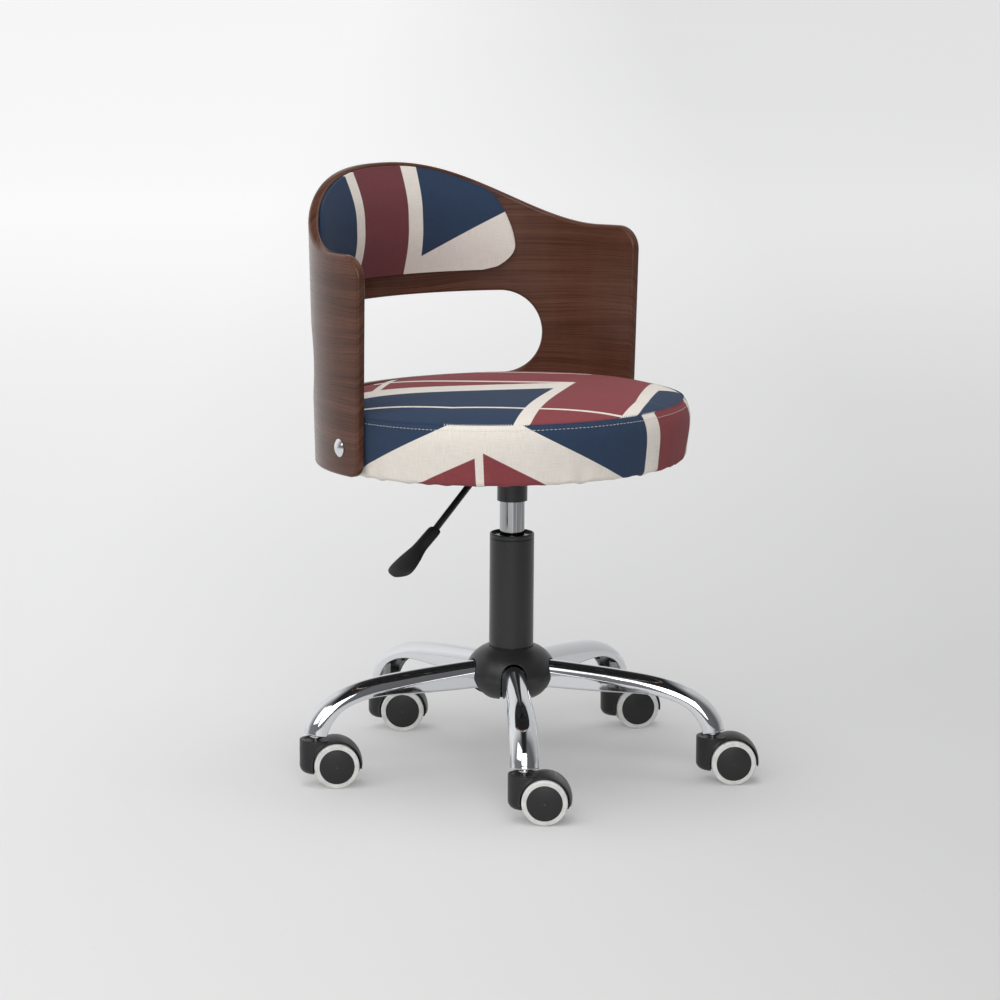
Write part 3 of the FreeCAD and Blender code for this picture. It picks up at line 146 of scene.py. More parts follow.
def weldClose(mesh, nearness=1e-6):
    # Merges points that fall together, turns every face outwards and smooths the shading.
    work = bmesh.new()
    work.from_mesh(mesh)
    bmesh.ops.remove_doubles(work, verts=work.verts, dist=nearness)
    bmesh.ops.recalc_face_normals(work, faces=work.faces)
    work.to_mesh(mesh)
    work.free()
    mesh.shade_smooth()


# Camera

cameraView = {
    "place": (-3046, -3162, 1138),
    "bearing": 43.75,       # from +Y towards +X
    "pitchDown": 10.71,
    "roll": 0.41,
    "lens": 143.5,
    "sensor": 36,
    "farEnd": 100000,
}


def makeCamera():
    data = bpy.data.cameras.new("photo_camera")
    data.lens = cameraView["lens"]
    data.sensor_width = cameraView["sensor"]
    data.clip_end = cameraView["farEnd"] * metre
    camera = bpy.data.objects.new("photo_camera", data)
    kit.objects.link(camera)
    place = Matrix.Translation([length * metre for length in cameraView["place"]])
    turn = Matrix.Rotation(math.radians(-cameraView["bearing"]), 4, "Z")
    tip = Matrix.Rotation(math.radians(90 - cameraView["pitchDown"]), 4, "X")
    roll = Matrix.Rotation(math.radians(cameraView["roll"]), 4, "Z")
    camera.matrix_world = place @ turn @ tip @ roll
    bpy.context.scene.camera = camera


# Shader helpers

noiseSpan = (0.3, 0.7)          # where nearly all of a noise's values lie


def put(tree, kind, inputs=None, **settings):
    # Adds a node. inputs maps a socket's name or number to a value or to another output.
    made = tree.nodes.new(kind)
    for key, value in settings.items():
        setattr(made, key, value)
    for key, value in (inputs or {}).items():
        if isinstance(value, bpy.types.NodeSocket):
            tree.links.new(value, made.inputs[key])
        else:
            made.inputs[key].default_value = value
    return made


def sums(tree, operation, *values, clamp=False):
    return put(tree, "ShaderNodeMath", dict(enumerate(values)), operation=operation,
               use_clamp=clamp).outputs[0]


def vectors(tree, operation, *values):
    return put(tree, "ShaderNodeVectorMath", dict(enumerate(values)),
               operation=operation).outputs[0]


def dotted(tree, place, way):
    # How far a place lies along a way.
    return put(tree, "ShaderNodeVectorMath", {0: place, 1: way},
               operation="DOT_PRODUCT").outputs["Value"]


def mixed(tree, share, first, second):
    # One colour laid over another; each is a colour or an output.
    values = {0: share, 6: first, 7: second}
    for key in (6, 7):
        if not isinstance(values[key], bpy.types.NodeSocket):
            values[key] = (*values[key], 1)
    return put(tree, "ShaderNodeMix", values, data_type="RGBA").outputs[2]


def noise(tree, place, scale=1.0, detail=3.0, roughness=0.55):
    return put(tree, "ShaderNodeTexNoise", {"Vector": place, "Scale": scale, "Detail": detail,
                                            "Roughness": roughness}).outputs["Fac"]


def grain(tree, place, long, wide, detail=3.0, roughness=0.55):
    # Noise drawn out along the place's X.
    stretched = vectors(tree, "MULTIPLY", place, (1 / long, 1 / wide, 1))
    return noise(tree, stretched, 1.0, detail, roughness)


def ranged(tree, value, low, high, newLow, newHigh, kind="LINEAR"):
    return put(tree, "ShaderNodeMapRange", {"Value": value, "From Min": low, "From Max": high,
                                            "To Min": newLow, "To Max": newHigh},
               interpolation_type=kind).outputs["Result"]


def bumped(tree, shader, height, depth, strength=1.0):
    # Bumps the shader's surface; depth is in millimetres.
    made = put(tree, "ShaderNodeBump", {"Height": height, "Distance": depth * metre,
                                        "Strength": strength})
    tree.links.new(made.outputs["Normal"], shader.inputs["Normal"])


def newMaterial(name, **surface):
    # A material, its node tree and its shader; surface holds what is the same all over.
    material = bpy.data.materials.new(name)
    material.use_nodes = True
    shader = material.node_tree.nodes["Principled BSDF"]
    for key, value in surface.items():
        shader.inputs[key.replace("_", " ")].default_value = value
    return material, material.node_tree, shader


def objectPlace(tree):
    # The place on the object in millimetres.
    place = put(tree, "ShaderNodeTexCoord").outputs["Object"]
    return vectors(tree, "MULTIPLY", place, (1 / metre,) * 3)


def clothPlace(tree):
    # The place on the flat cloth or veneer in millimetres.
    place = put(tree, "ShaderNodeUVMap", uv_map="cloth").outputs["UV"]
    return vectors(tree, "MULTIPLY", place, (1 / metre,) * 3)


# Walnut

walnutLook = {
    "dark": (0.046, 0.0165, 0.0098),
    "middle": (0.086, 0.0345, 0.0208),
    "light": (0.134, 0.058, 0.0365),
    "bandLength": 520,          # how long and how wide the figure runs
    "bandWidth": 13,
    "fibreLength": 130,
    "fibreWidth": 1.0,
    "rippleLength": 24,         # the faint upright ripple in the lacquered figure
    "rippleHeight": 110,
    "ripple": 0.09,
    "poreLength": 9,
    "poreWidth": 0.7,
    "poreSpan": (0.62, 0.78),   # the pore noise's values where a pore starts and is full
    "poreShare": 0.5,
    "fibreBump": (0.05, 0.25),  # depth and strength
    "driftLength": 333.3,       # how far apart the figure drifts up and down
    "driftWidth": 125,
    "driftRise": 30,
    "bandShare": 0.45,          # how much of the figure is bands, the rest being fibres
    "toneStops": (0.34, 0.5, 0.68),
    "gloss": (0.24, 0.34),
}


def makeWalnut():
    # Grain that runs round the shell: wide drifting bands, fine fibres and short dark pores.
    material, tree, shader = newMaterial("walnut_lacquer", Coat_Weight=0.2,
                                         Coat_Roughness=0.13, Specular_IOR_Level=0.15)
    look = walnutLook
    place = clothPlace(tree)
    drift = grain(tree, place, look["driftLength"], look["driftWidth"], 2)
    lift = put(tree, "ShaderNodeCombineXYZ", {"Y": sums(tree, "MULTIPLY", drift, look["driftRise"])})
    bent = vectors(tree, "ADD", place, lift.outputs[0])
    bands = grain(tree, bent, look["bandLength"], look["bandWidth"], 5)
    fibres = grain(tree, bent, look["fibreLength"], look["fibreWidth"], 4)
    pores = grain(tree, place, look["poreLength"], look["poreWidth"], 1)
    ripple = grain(tree, bent, look["rippleLength"], look["rippleHeight"], 2)
    figure = sums(tree, "ADD", sums(tree, "MULTIPLY", bands, look["bandShare"]),
                  sums(tree, "MULTIPLY", fibres, 1 - look["bandShare"]))
    ramp = put(tree, "ShaderNodeValToRGB", {"Fac": figure})
    stops = ramp.color_ramp.elements
    low, middle, high = look["toneStops"]
    stops[0].position, stops[0].color = low, (*look["dark"], 1)
    stops[1].position, stops[1].color = high, (*look["light"], 1)
    stops.new(middle).color = (*look["middle"], 1)
    poreShare = ranged(tree, pores, *look["poreSpan"], 0.0, look["poreShare"])
    wood = mixed(tree, poreShare, ramp.outputs["Color"], look["dark"])
    shimmer = ranged(tree, ripple, *noiseSpan, 1 - look["ripple"], 1 + look["ripple"])
    tree.links.new(vectors(tree, "MULTIPLY", wood, shimmer), shader.inputs["Base Color"])
    tree.links.new(ranged(tree, fibres, *noiseSpan, *look["gloss"]), shader.inputs["Roughness"])
    bumped(tree, shader, fibres, *look["fibreBump"])
    return material


# Printed cloth

clothLook = {
    "cream": (0.74, 0.69, 0.63),
    "red": (0.225, 0.051, 0.058),
    "padShadedRed": (0.155, 0.046, 0.053),    # the seat's red, darkened as painted shade for the pad, which sits back in the shell
    "navy": (0.028, 0.048, 0.091),
    "threadPitch": 0.62,
    "inkEdge": 0.5,             # how far the ink runs at an edge
    "stripeLap": 0.2,           # how far a stripe's runs overlap, as a share of its half width
    "slub": 0.12,
    "slubSpan": (0.35, 0.65),
    "slubLength": 16,
    "slubWidth": 0.45,
    "weaveBump": (0.16, 0.5),   # depth and strength
}


def stripe(ink, width, *line):
    # A straight-run stripe of even width along a line of places, as one patch for each run.
    patches = []
    for start, end in zip(np.array(line[:-1], float), np.array(line[1:], float)):
        ahead = (end - start) / np.hypot(*(end - start)) * width / 2
        side = np.array([-ahead[1], ahead[0]])
        lap = ahead * clothLook["stripeLap"]
        patches.append((ink, [start - side - lap, end - side + lap,
                              end + side + lap, start + side - lap]))
    return patches


# Each print is a ground colour and convex patches laid over it in turn. Places are across and
# up the flat cloth; the seat top's are across and away, from the round seat's middle.
seatTopPrint = {
    "ground": "red",
    "patches": [
        ("navy", [(-230, -40), (60, -12), (12, -215), (-230, -230)]),
        ("cream", [(-230, -12), (-145, -2), (2, 20), (78, 21), (53.6, -21.8), (-230, -56)]),
        ("cream", [(64.6, 21), (78, 21), (18.6, -230), (0, -230)]),
        ("cream", [(-150, 72), (76, 27), (80, 21), (76, 18), (-150, 62)]),
        ("cream", [(-150, -6), (-141, -4), (-122, 115), (-131, 115)]),
        ("cream", [(104, -230), (143, -94), (230, -94), (230, -230)]),
        ("cream", [(143, -94), (171, 90), (230, 90), (230, -94)]),
        ("navy", [(157.5, -84), (123, -230), (230, -230), (230, -84)]),
        ("navy", [(157.5, -84), (172.5, -2.3), (198, 32), (230, 32), (230, -84)]),
        *stripe("cream", 5, (-160, -98), (-114, -116), (-59, -140), (24, -152), (128, -153)),
        *stripe("cream", 6, (-30, 139), (-1, 131), (51, 115), (97, 109.5)),
    ],
}
seatSidePrint = {
    "ground": "navy",
    "patches": [
        ("cream", [(-76, 81), (17, 81), (140, 14), (140, -20), (-280, -20), (-171, 31)]),
        ("red", [(-104, 14), (-34, 46), (-34, -20), (-176, -20)]),
        ("red", [(-25, 52), (-25, -20), (108, -20), (45, 14)]),
        ("cream", [(167, 85), (190, 85), (196, 10), (172, 10)]),
        ("red", [(190, 85), (290, 85), (290, 10), (196, 10)]),
        ("cream", [(290, 85), (311, 85), (311, 10), (290, 10)]),
    ],
}


def patchShare(tree, place, corners):
    # How far inside a convex patch a point lies, as the least of its distances from the sides.
    corners = np.array(corners, float)
    following = np.roll(corners, -1, axis=0)
    area = np.sum(corners[:, 0] * following[:, 1] - following[:, 0] * corners[:, 1])
    side = (following - corners) * math.copysign(1, area)
    inward = places(-side[:, 1], side[:, 0])
    inward /= np.hypot(side[:, 0], side[:, 1])[:, None]
    shifts = -np.sum(inward * corners, axis=1)
    least = None
    for normal, shift in zip(inward.tolist(), shifts.tolist()):
        depth = sums(tree, "ADD", dotted(tree, place, (*normal, 0)), shift)
        least = depth if least is None else sums(tree, "MINIMUM", least, depth)
    return sums(tree, "MULTIPLY_ADD", least, 1 / clothLook["inkEdge"], 0.5, clamp=True)


def weave(tree, place):
    # A plain weave's height: threads cross over and under in turn.
    step = math.pi / clothLook["threadPitch"]
    split = put(tree, "ShaderNodeSeparateXYZ", {0: place}).outputs
    warp = sums(tree, "SINE", sums(tree, "MULTIPLY", split["X"], step))
    weft = sums(tree, "SINE", sums(tree, "MULTIPLY", split["Y"], step))
    return sums(tree, "ABSOLUTE", sums(tree, "MULTIPLY", warp, weft))


def makePrint(name, design):
    # Woven cloth with its print: patches on a ground, then the threads' own uneven tone.
    material, tree, shader = newMaterial(name, Roughness=0.9, Sheen_Weight=0.05,
                                         Sheen_Roughness=0.5, Specular_IOR_Level=0.15)
    look = clothLook
    place = clothPlace(tree)
    colour = put(tree, "ShaderNodeRGB").outputs[0]
    colour.default_value = (*look[design["ground"]], 1)
    for ink, corners in design["patches"]:
        colour = mixed(tree, patchShare(tree, place, corners), colour, look[ink])
    warp = grain(tree, place, look["slubWidth"], look["slubLength"], roughness=0.6)
    weft = grain(tree, place, look["slubLength"], look["slubWidth"], roughness=0.6)
    threads = sums(tree, "MULTIPLY", sums(tree, "ADD", warp, weft), 0.5)
    tone = ranged(tree, threads, *look["slubSpan"], 1 - look["slub"], 1 + look["slub"])
    tree.links.new(vectors(tree, "MULTIPLY", colour, tone), shader.inputs["Base Color"])
    bumped(tree, shader, sums(tree, "ADD", weave(tree, place), threads), *look["weaveBump"])
    return material


padPrint = {
    # The pad's ground is the seat's red, darkened as painted shade.
    "ground": "padShadedRed",
    "patches": [
        ("navy", [(-180, -20), (-61, -20), (-61, 400), (-180, 400)]),
        ("cream", [(-61, -20), (-45, -20), (-45, 400), (-61, 400)]),
        ("cream", [(26.8, -20), (46.9, -20), (46.9, 400), (26.8, 400)]),
        ("cream", [(46, 225.5), (190, 293), (190, 235), (155, 213), (92, 199), (46, 190)]),
        ("navy", [(46.9, 225.5), (190, 292), (190, 400), (46.9, 400)]),
    ],
}


# Hard finishes

hardLook = {
    "chrome": (0.74, 0.75, 0.77),
    "plastic": (0.0125, 0.0125, 0.0132),
    "powder": (0.0145, 0.0145, 0.0152),
    "tyre": (0.66, 0.66, 0.64),
    "steel": (0.42, 0.42, 0.41),
    "column": (0.29, 0.295, 0.305),
    "chromeGloss": (0.025, 0.07),
    "chromeScuff": 0.035,       # how much duller it is where it is scuffed
    "chromeWave": (0.25, 0.25),     # depth and strength
    "grainGloss": (0.34, 0.46),
    "coverGloss": (0.27, 0.36),
    "gripGloss": (0.5, 0.62),
    "polishGloss": (0.07, 0.13),
    "plyPale": (0.46, 0.31, 0.17),
    "plyDark": (0.30, 0.18, 0.09),
    "plyLayer": 1.3,
    "plyFibre": (0.02, 0.8, 0.8),   # how many fibres there are to a millimetre each way
    "plyBump": (0.1, 0.4),
    "dust": (0.010, 0.010, 0.011),
    "plasticTone": (0.85, 1.25),
    "grainDepth": 0.05,
    "plasticGrain": 0.5,        # widths of the moulded grain, peel and smears
    "peelWidth": 1.6,
    "smearWidth": 45,
    "scuffWidth": 11,
}


def makeChrome():
    # Bright plate whose gloss drifts a little, as handled chrome does.
    material, tree, shader = newMaterial("chrome_plate", Metallic=1.0)
    place = objectPlace(tree)
    smear = noise(tree, place, 1 / hardLook["smearWidth"], 4)
    fine = noise(tree, place, 1 / hardLook["scuffWidth"], 5)
    shader.inputs["Base Color"].default_value = (*hardLook["chrome"], 1)
    rough = sums(tree, "ADD", ranged(tree, smear, *noiseSpan, *hardLook["chromeGloss"]),
                 ranged(tree, fine, 0.45, 0.75, 0.0, hardLook["chromeScuff"]))
    tree.links.new(rough, shader.inputs["Roughness"])
    bumped(tree, shader, smear, *hardLook["chromeWave"])
    return material


def makeVaried(name, colour, tone, gloss=None, bump=None, squeeze=(1, 1, 1), harshness=0.55,
               **surface):
    # A surface that varies with noise. tone, gloss and bump each start with the noise's width and
    # detail. tone and gloss go on with two values of the noise and what they become, and bump
    # with its depth and strength. squeeze packs the noise closer along each axis.
    material, tree, shader = newMaterial(name, **surface)
    place = vectors(tree, "MULTIPLY", objectPlace(tree), squeeze)

    def spots(width, detail, *span):
        field = noise(tree, place, 1 / width, detail, harshness)
        return ranged(tree, field, *span) if span else field

    tree.links.new(vectors(tree, "MULTIPLY", colour, spots(*tone)), shader.inputs["Base Color"])
    if gloss:
        tree.links.new(spots(*gloss), shader.inputs["Roughness"])
    if bump:
        bumped(tree, shader, spots(*bump[:2]), *bump[2:])
    return material


def makePlastic(name, gloss, grainStrength, lift=1.0):
    # Moulded plastic: a fine even grain, with tone and gloss that drift over a few centimetres.
    look = hardLook
    drift = (look["smearWidth"], 3, *noiseSpan)
    return makeVaried(name, look["plastic"], (*drift, *(lift * tone for tone in look["plasticTone"])),
                      (*drift, *look[gloss]),
                      (look["plasticGrain"], 2, look["grainDepth"], grainStrength),
                      Specular_IOR_Level=0.42)


def makePlywood():
    # Raw plies: layers that change tone with height, and fibres along X.
    material, tree, shader = newMaterial("raw_plywood", Roughness=0.72)
    place = objectPlace(tree)
    height = put(tree, "ShaderNodeSeparateXYZ", {0: place}).outputs["Z"]
    layer = sums(tree, "PINGPONG", height, hardLook["plyLayer"])
    fibres = noise(tree, vectors(tree, "MULTIPLY", place, hardLook["plyFibre"]), 1.0, 4)
    share = sums(tree, "MULTIPLY", sums(tree, "ADD", layer, fibres), 0.5, clamp=True)
    tree.links.new(mixed(tree, share, hardLook["plyPale"], hardLook["plyDark"]),
                   shader.inputs["Base Color"])
    bumped(tree, shader, fibres, *hardLook["plyBump"])
    return material


smear, scuff, peel = (hardLook[key] for key in ("smearWidth", "scuffWidth", "peelWidth"))
finishes = {
    "walnut": makeWalnut(),
    "chrome": makeChrome(),
    "black_plastic": makePlastic("grained_plastic", "grainGloss", 0.45),
    # Satin powder coat: the soft dimples of its peel and a few paler rubbed spots.
    "black_metal": makeVaried("powder_coat", hardLook["powder"], (scuff, 6, 0.6, 0.8, 1.0, 1.5),
                              (smear, 4, *noiseSpan, 0.24, 0.34), (peel, 2, 0.05, 0.25),
                              Specular_IOR_Level=0.5),
    # Soft pale tread, a little dirtier in patches.
    "pale_tyre": makeVaried("soft_tyre", hardLook["tyre"], (scuff, 5, 0.35, 0.7, 1.08, 0.84),
                            (scuff, 5, *noiseSpan, 0.42, 0.6), (peel, 3, 0.05, 0.35),
                            Specular_IOR_Level=0.4),
    # Plain zinc plate: cloudy tone and soft gloss.
    "plain_steel": makeVaried("zinc_plate", hardLook["steel"],
                              (scuff, 5, *noiseSpan, 0.8, 1.15), (scuff, 5, *noiseSpan, 0.26, 0.42),
                              (peel, 2, 0.03, 0.3), Metallic=1.0),
    "plywood": makePlywood(),
    # Thin bonded cloth: matted fibres at random angles.
    "dust_cloth": makeVaried("bonded_cloth", hardLook["dust"], (peel, 6, *noiseSpan, 0.6, 1.7),
                             bump=(peel, 6, 0.2, 0.5), harshness=0.7, Roughness=0.9,
                             Sheen_Weight=0.15),
}
ownFinishes = {
    # The ground and plated cylinder: long upright streaks in its gloss, and painted reflection streaks in its
    # tone.
    "gas_cylinder": makeVaried("column_chrome", hardLook["column"], (1, 2, 0.34, 0.66, 0.75, 1.75),
                               (1, 2, *noiseSpan, 0.06, 0.13), squeeze=(0.35, 0.35, 0.004),
                               Metallic=1.0),
    "guide_bushing": makePlastic("polished_plastic", "polishGloss", 0.05),
    # The cover's plastic is made 1.9 times paler than the rest: painted sheen standing in for the soft gleam on
    # its upper left.
    "hub_cover": makePlastic("cover_plastic", "coverGloss", 0.35, 1.9),
}
seatTopCloth = makePrint("seat_top_print", seatTopPrint)
seatSideCloth = makePrint("seat_side_print", seatSidePrint)
padCloth = makePrint("back_pad_print", padPrint)
# Greyed cream thread with its ply twisted round it.
creamThread = makeVaried("cream_thread", clothLook["cream"],
                         (clothLook["slubWidth"], 2, *noiseSpan, 0.6, 0.95),
                         bump=(clothLook["slubWidth"], 2, 0.08, 0.4), Roughness=0.7,
                         Sheen_Weight=0.2)
gripPlastic = makePlastic("grip_plastic", "gripGloss", 0.9, 0.45)


def dressNodes():
    # Every node of the frame gets its slot's finish, or one of its own.
    for row in frame["record"]["subparts"]:
        node = frame["nodes"][row["node"]]
        for held in node.material_slots:
            held.material = finishes.get(row["material_slot"], seatSideCloth)
    for name, finish in ownFinishes.items():
        for held in frame["nodes"][name].material_slots:
            held.material = finish


# Seat cushion

seatCushion = {
    "bottom": 14.5,             # heights are in the level seat frame
    "seam": 80.5,
    "footRadius": 199.4,
    "seamRadius": 201.8,
    "bandBulge": 1.5,
    "frontBulge": 3.2,          # how much more the band swells in front of the shell
    "frontBelly": 1.8,
    "frontDraw": 2.2,           # how far the seam is drawn in there
    "drawShare": 0.72,          # where on the band's height that starts
    "frontTurns": (92, 62),     # turns from the middle of the front where both fade in
    "crown": 15.5,
    "crownPower": 5,
    "pocketRadius": 175.7,
    "pocketHeight": 61.4,
    "boardRadius": 194.3,
    "boardTop": 31.3,
    "footRound": 3.5,
    "footShare": 0.07,          # the share of the band's height that it rounds
    "seamDepth": 1.4,
    "seamWidth": 2.0,
    "puckerReach": 6,
    "gatherDepth": 1.6,
    "gatherFade": 12,
    "gathers": (43, 58, 31),    # how many waves go round
    "gatherShift": 1.7,         # where they start
    "puckers": (131, 173),
    "puckerShift": 0.9,
    "puckerDepth": 0.25,
    "columns": 900,
    "printTurn": 43.75,         # the print's own way round the seat
    "wrapAngle": -136,          # where the band's ends meet, out of sight in the shell
}


def seatRound(radius, turn, height):
    # Places on the round seat; turn is measured from the print's near side.
    along = turn - math.radians(seatCushion["printTurn"])
    return places(radius * np.sin(along), -radius * np.cos(along), height)


def frontShare(turn):
    # 1 in front of the shell and 0 inside it, with a smooth change between.
    ahead = np.cos(turn - math.radians(seatCushion["printTurn"]))
    first, last = np.cos(np.radians(seatCushion["frontTurns"]))
    share = np.clip((ahead - first) / (last - first), 0, 1)
    return share * share * (3 - 2 * share)


def frontChange(share):
    # How far the band stands out in front, at a share of its height.
    size = seatCushion
    drawn = np.clip((share - size["drawShare"]) / (1 - size["drawShare"]), 0, 1)
    return (size["frontBulge"] * np.sin(np.pi * share ** size["frontBelly"])
            - size["frontDraw"] * drawn ** 2)


def bandRadius(share):
    # The band's radius at a share of its height, before the foot is rounded.
    size = seatCushion
    return (between(size["footRadius"], size["seamRadius"], share)
            + size["bandBulge"] * np.sin(np.pi * share))


def cushionProfile():
    # Pocket, band and top of the turned form, row by row: radius, height, and how far the row
    # moves out in front. Also the band's first row and the seam's.
    size = seatCushion
    share = np.concatenate([np.linspace(0, 0.1, 6), np.linspace(0.14, 0.86, 16),
                            np.linspace(0.89, 1, 8)])
    bandHeight = between(size["bottom"], size["seam"], share)
    foot = size["footRound"] * np.clip(1 - share / size["footShare"], 0, 1) ** 2
    inward = np.concatenate([np.linspace(1, 0.93, 11)[1:], np.linspace(0.91, 0, 44)])
    topHeight = size["seam"] + size["crown"] * (1 - inward ** size["crownPower"])
    pocket = np.array([(0, size["boardTop"]), (size["pocketRadius"], size["boardTop"]),
                       (size["pocketRadius"], size["pocketHeight"]),
                       (size["boardRadius"], size["pocketHeight"]),
                       (size["boardRadius"], size["bottom"])])
    radius = np.concatenate([pocket[:, 0], bandRadius(share) - foot, size["seamRadius"] * inward])
    height = np.concatenate([pocket[:, 1], bandHeight, topHeight])
    change = np.concatenate([0 * pocket[:, 0], frontChange(share), -size["frontDraw"] * inward])
    return radius, height, change, len(pocket), len(pocket) + len(share) - 1


def waves(turn, counts, shift):
    # The mean of a few cosine waves, each with its own number of turns round the seat.
    return np.mean([np.cos(count * turn + shift * count) for count in counts], axis=0)


def makeSeatCushion():
    # The turned form, with the seam's groove, waves of gathered cloth round the foot and short
    # puckers along the seam. The top's cloth is flat and the band's is unrolled.
    size = seatCushion
    radius, height, change, bandRow, seamRow = cushionProfile()
    start = math.radians(size["wrapAngle"])
    turn = start + np.linspace(0, 2 * np.pi, size["columns"], endpoint=False)
    rows = np.arange(len(radius))
    shown = rows >= bandRow
    fromSeam = np.hypot(height - size["seam"], (radius - size["seamRadius"]) / 2)
    groove = shown * size["seamDepth"] * np.exp(-(fromSeam / size["seamWidth"]) ** 2)
    nearFoot = shown * (rows <= seamRow) * np.exp((size["bottom"] - height) / size["gatherFade"])
    nearSeam = shown * np.exp(-(fromSeam / size["puckerReach"]) ** 2)
    wave = waves(turn, size["gathers"], size["gatherShift"])
    pucker = waves(turn, size["puckers"], size["puckerShift"])
    ring = ((radius - groove)[:, None] + np.outer(nearFoot, wave) * size["gatherDepth"]
            + np.outer(nearSeam, pucker) * size["puckerDepth"] + np.outer(change, frontShare(turn)))
    rise = height[:, None] + np.outer(nearFoot ** 3, wave) * size["gatherDepth"]
    points = seatRound(ring, turn, rise)
    closed = np.append(turn, start + 2 * np.pi)
    reach = radius[:, None]
    flat = places(reach * np.sin(closed), -reach * np.cos(closed))
    around = places(closed * size["seamRadius"], height[:, None])
    mesh = gridMesh("seat_cushion_cover", seatToWorld(points), loopColumns=True, cloth=around,
                    topRow=seamRow, topCloth=flat)
    cover = finished("seat_cushion_cover", mesh, "seat", ["seat_cushion"], "print_fabric",
                     seatSideCloth, seatTopCloth)


# Stitches

stitchSize = {
    "topstitchHeight": 75.2,
    "topstitches": 270,
    "topstitchShare": 0.7,      # thread shown of each step
    "topstitchWander": 0.18,    # how far a stitch strays up or down
    "threadRadius": 0.3,
    "teeth": 430,
    "toothReach": 2.6,
    "toothRise": 0.2,           # how far above the seam their middle is
    "toothRadius": 0.36,
    "toothPlace": 78,           # the height on the side cloth that they take their ink from
    "sides": 6,
    "strand": ((0, 0), (0.06, 0.75), (0.3, 1), (0.7, 1), (0.94, 0.75), (1, 0)),  # way and radius
    "lift": 0.35,               # how much of its radius a bead stands proud
    "toothLean": 0.4,
    "toothTip": 0.6,            # how far the tooth's upper end lies inside
    "seed": 5,
}


def addStitches(name, starts, ends, radius, outward, material, along=0.0):
    # Short threads from starts to ends, each a tapered bead of a few rings round its own line, as
    # one mesh with closed ends. along is each bead's way along the band, where it takes its ink.
    share, swell = np.array(stitchSize["strand"], float).T
    swell = swell * radius
    count, rings, sides = len(starts), len(share), stitchSize["sides"]
    turn = np.linspace(0, 2 * np.pi, sides, endpoint=False)[:, None]
    line = ends - starts
    side = np.cross(line / np.linalg.norm(line, axis=1)[:, None], outward)
    middle = starts[:, None] + line[:, None] * share[:, None]
    middle = middle + outward[:, None] * (stitchSize["lift"] * swell)[:, None]
    ring = side[:, None, None] * np.cos(turn) + outward[:, None, None] * np.sin(turn)
    beads = middle[:, :, None] + ring * swell[:, None, None]
    bead, i, j = np.meshgrid(np.arange(count), np.arange(rings - 1), np.arange(sides), indexing="ij")
    near = (bead * rings + i) * sides
    far, ahead = near + sides, (j + 1) % sides
    quads = np.stack([near + j, near + ahead, far + ahead, far + j], axis=-1).reshape(-1, 4)
    across = np.repeat(along + np.zeros(count), (rings - 1) * sides * 4)
    cloth = places(across, stitchSize["toothPlace"])
    mesh = quadMesh(name, seatToWorld(beads.reshape(-1, 3)), quads, cloth, nearness=1e-8)
    finished(name, mesh, "seat", [], "print_fabric", material)


def makeStitches():
    # A row of running stitches below the seam, and small teeth of the side's cloth over it.
    size, cushion = stitchSize, seatCushion
    chance = np.random.default_rng(size["seed"])
    step = 2 * np.pi / size["topstitches"]
    turn = np.arange(size["topstitches"]) * step
    share = (size["topstitchHeight"] - cushion["bottom"]) / (cushion["seam"] - cushion["bottom"])
    radius = bandRadius(share) + frontChange(share) * frontShare(turn)
    stray = chance.uniform(-1, 1, (2, len(turn))) * size["topstitchWander"]
    starts = seatRound(radius, turn, size["topstitchHeight"] + stray[0])
    ends = seatRound(radius, turn + step * size["topstitchShare"], size["topstitchHeight"] + stray[1])
    outward = seatRound(1.0, turn + step * size["topstitchShare"] / 2, 0)
    addStitches("seat_topstitches", starts, ends, size["threadRadius"], outward, creamThread)
    turn = math.radians(cushion["wrapAngle"]) + np.arange(size["teeth"]) * 2 * np.pi / size["teeth"]
    radius = (cushion["seamRadius"] - cushion["seamDepth"] * 0.5
              - cushion["frontDraw"] * frontShare(turn))
    lean = size["toothLean"] * size["toothReach"] / cushion["seamRadius"]
    middle, half = cushion["seam"] + size["toothRise"], size["toothReach"] / 2
    starts = seatRound(radius, turn, middle - half)
    ends = seatRound(radius - size["toothTip"], turn + lean, middle + half)
    outward = seatRound(1.0, turn, 0)
    addStitches("seat_seam_stitches", starts, ends, size["toothRadius"], outward, seatSideCloth,
                turn * cushion["seamRadius"])


# Walnut shell

walnutShell = {
    "radius": 204,              # inner radius at the height given
    "radiusHeight": 60,
    "flare": 0.46,
    "thickness": 11,
    "low": 15.5,
    "sideHeight": 258.5,
    "lowAngle": 87.1,
    "highAngle": 89.8,
    "lowCorner": 16,
    "highCorner": 26,
    "rimSpan": 75,
    "rimRise": 76.5,
    "rimPower": 1.2,
    "windowLow": 84,
    "windowHigh": 180.5,
    "windowHalfAngle": 55.5,
    "edgeRound": 3.2,
    "edgeSteps": 7,             # rows over each rounded edge, and across each face
    "faceSteps": 32,
    "columns": 840,
}


def onCone(flat, inward):
    # Places a point of the unrolled sheet, at a depth inside the inner face, in the seat frame.
    size = walnutShell
    angle, height = flat[..., 0] / size["radius"], flat[..., 1]
    flare = math.tan(math.radians(size["flare"]))
    radius = size["radius"] + (height - size["radiusHeight"]) * flare - inward
    return places(radius * np.sin(angle), radius * np.cos(angle), height)


def rimHeight(angle):
    # Level along the sides and swept up to the middle of the back.
    size = walnutShell
    share = np.minimum(1, np.abs(angle) / size["rimSpan"]) ** size["rimPower"]
    return size["sideHeight"] + size["rimRise"] * np.cos(np.pi / 2 * share) ** 2


def arcLine(centre, radius, first, last, count=14):
    # Points along a circle from one angle to another.
    turn = np.radians(np.linspace(first, last, count))
    return places(centre[0] + radius * np.cos(turn), centre[1] + radius * np.sin(turn))


def evenLine(line, count):
    # The same line with its points evenly spread.
    steps = np.hypot(*np.diff(line, axis=0).T)
    run = np.append(0, np.cumsum(steps))
    way = np.linspace(0, run[-1], count, endpoint=False)
    return places(*(np.interp(way, run, part) for part in line.T))


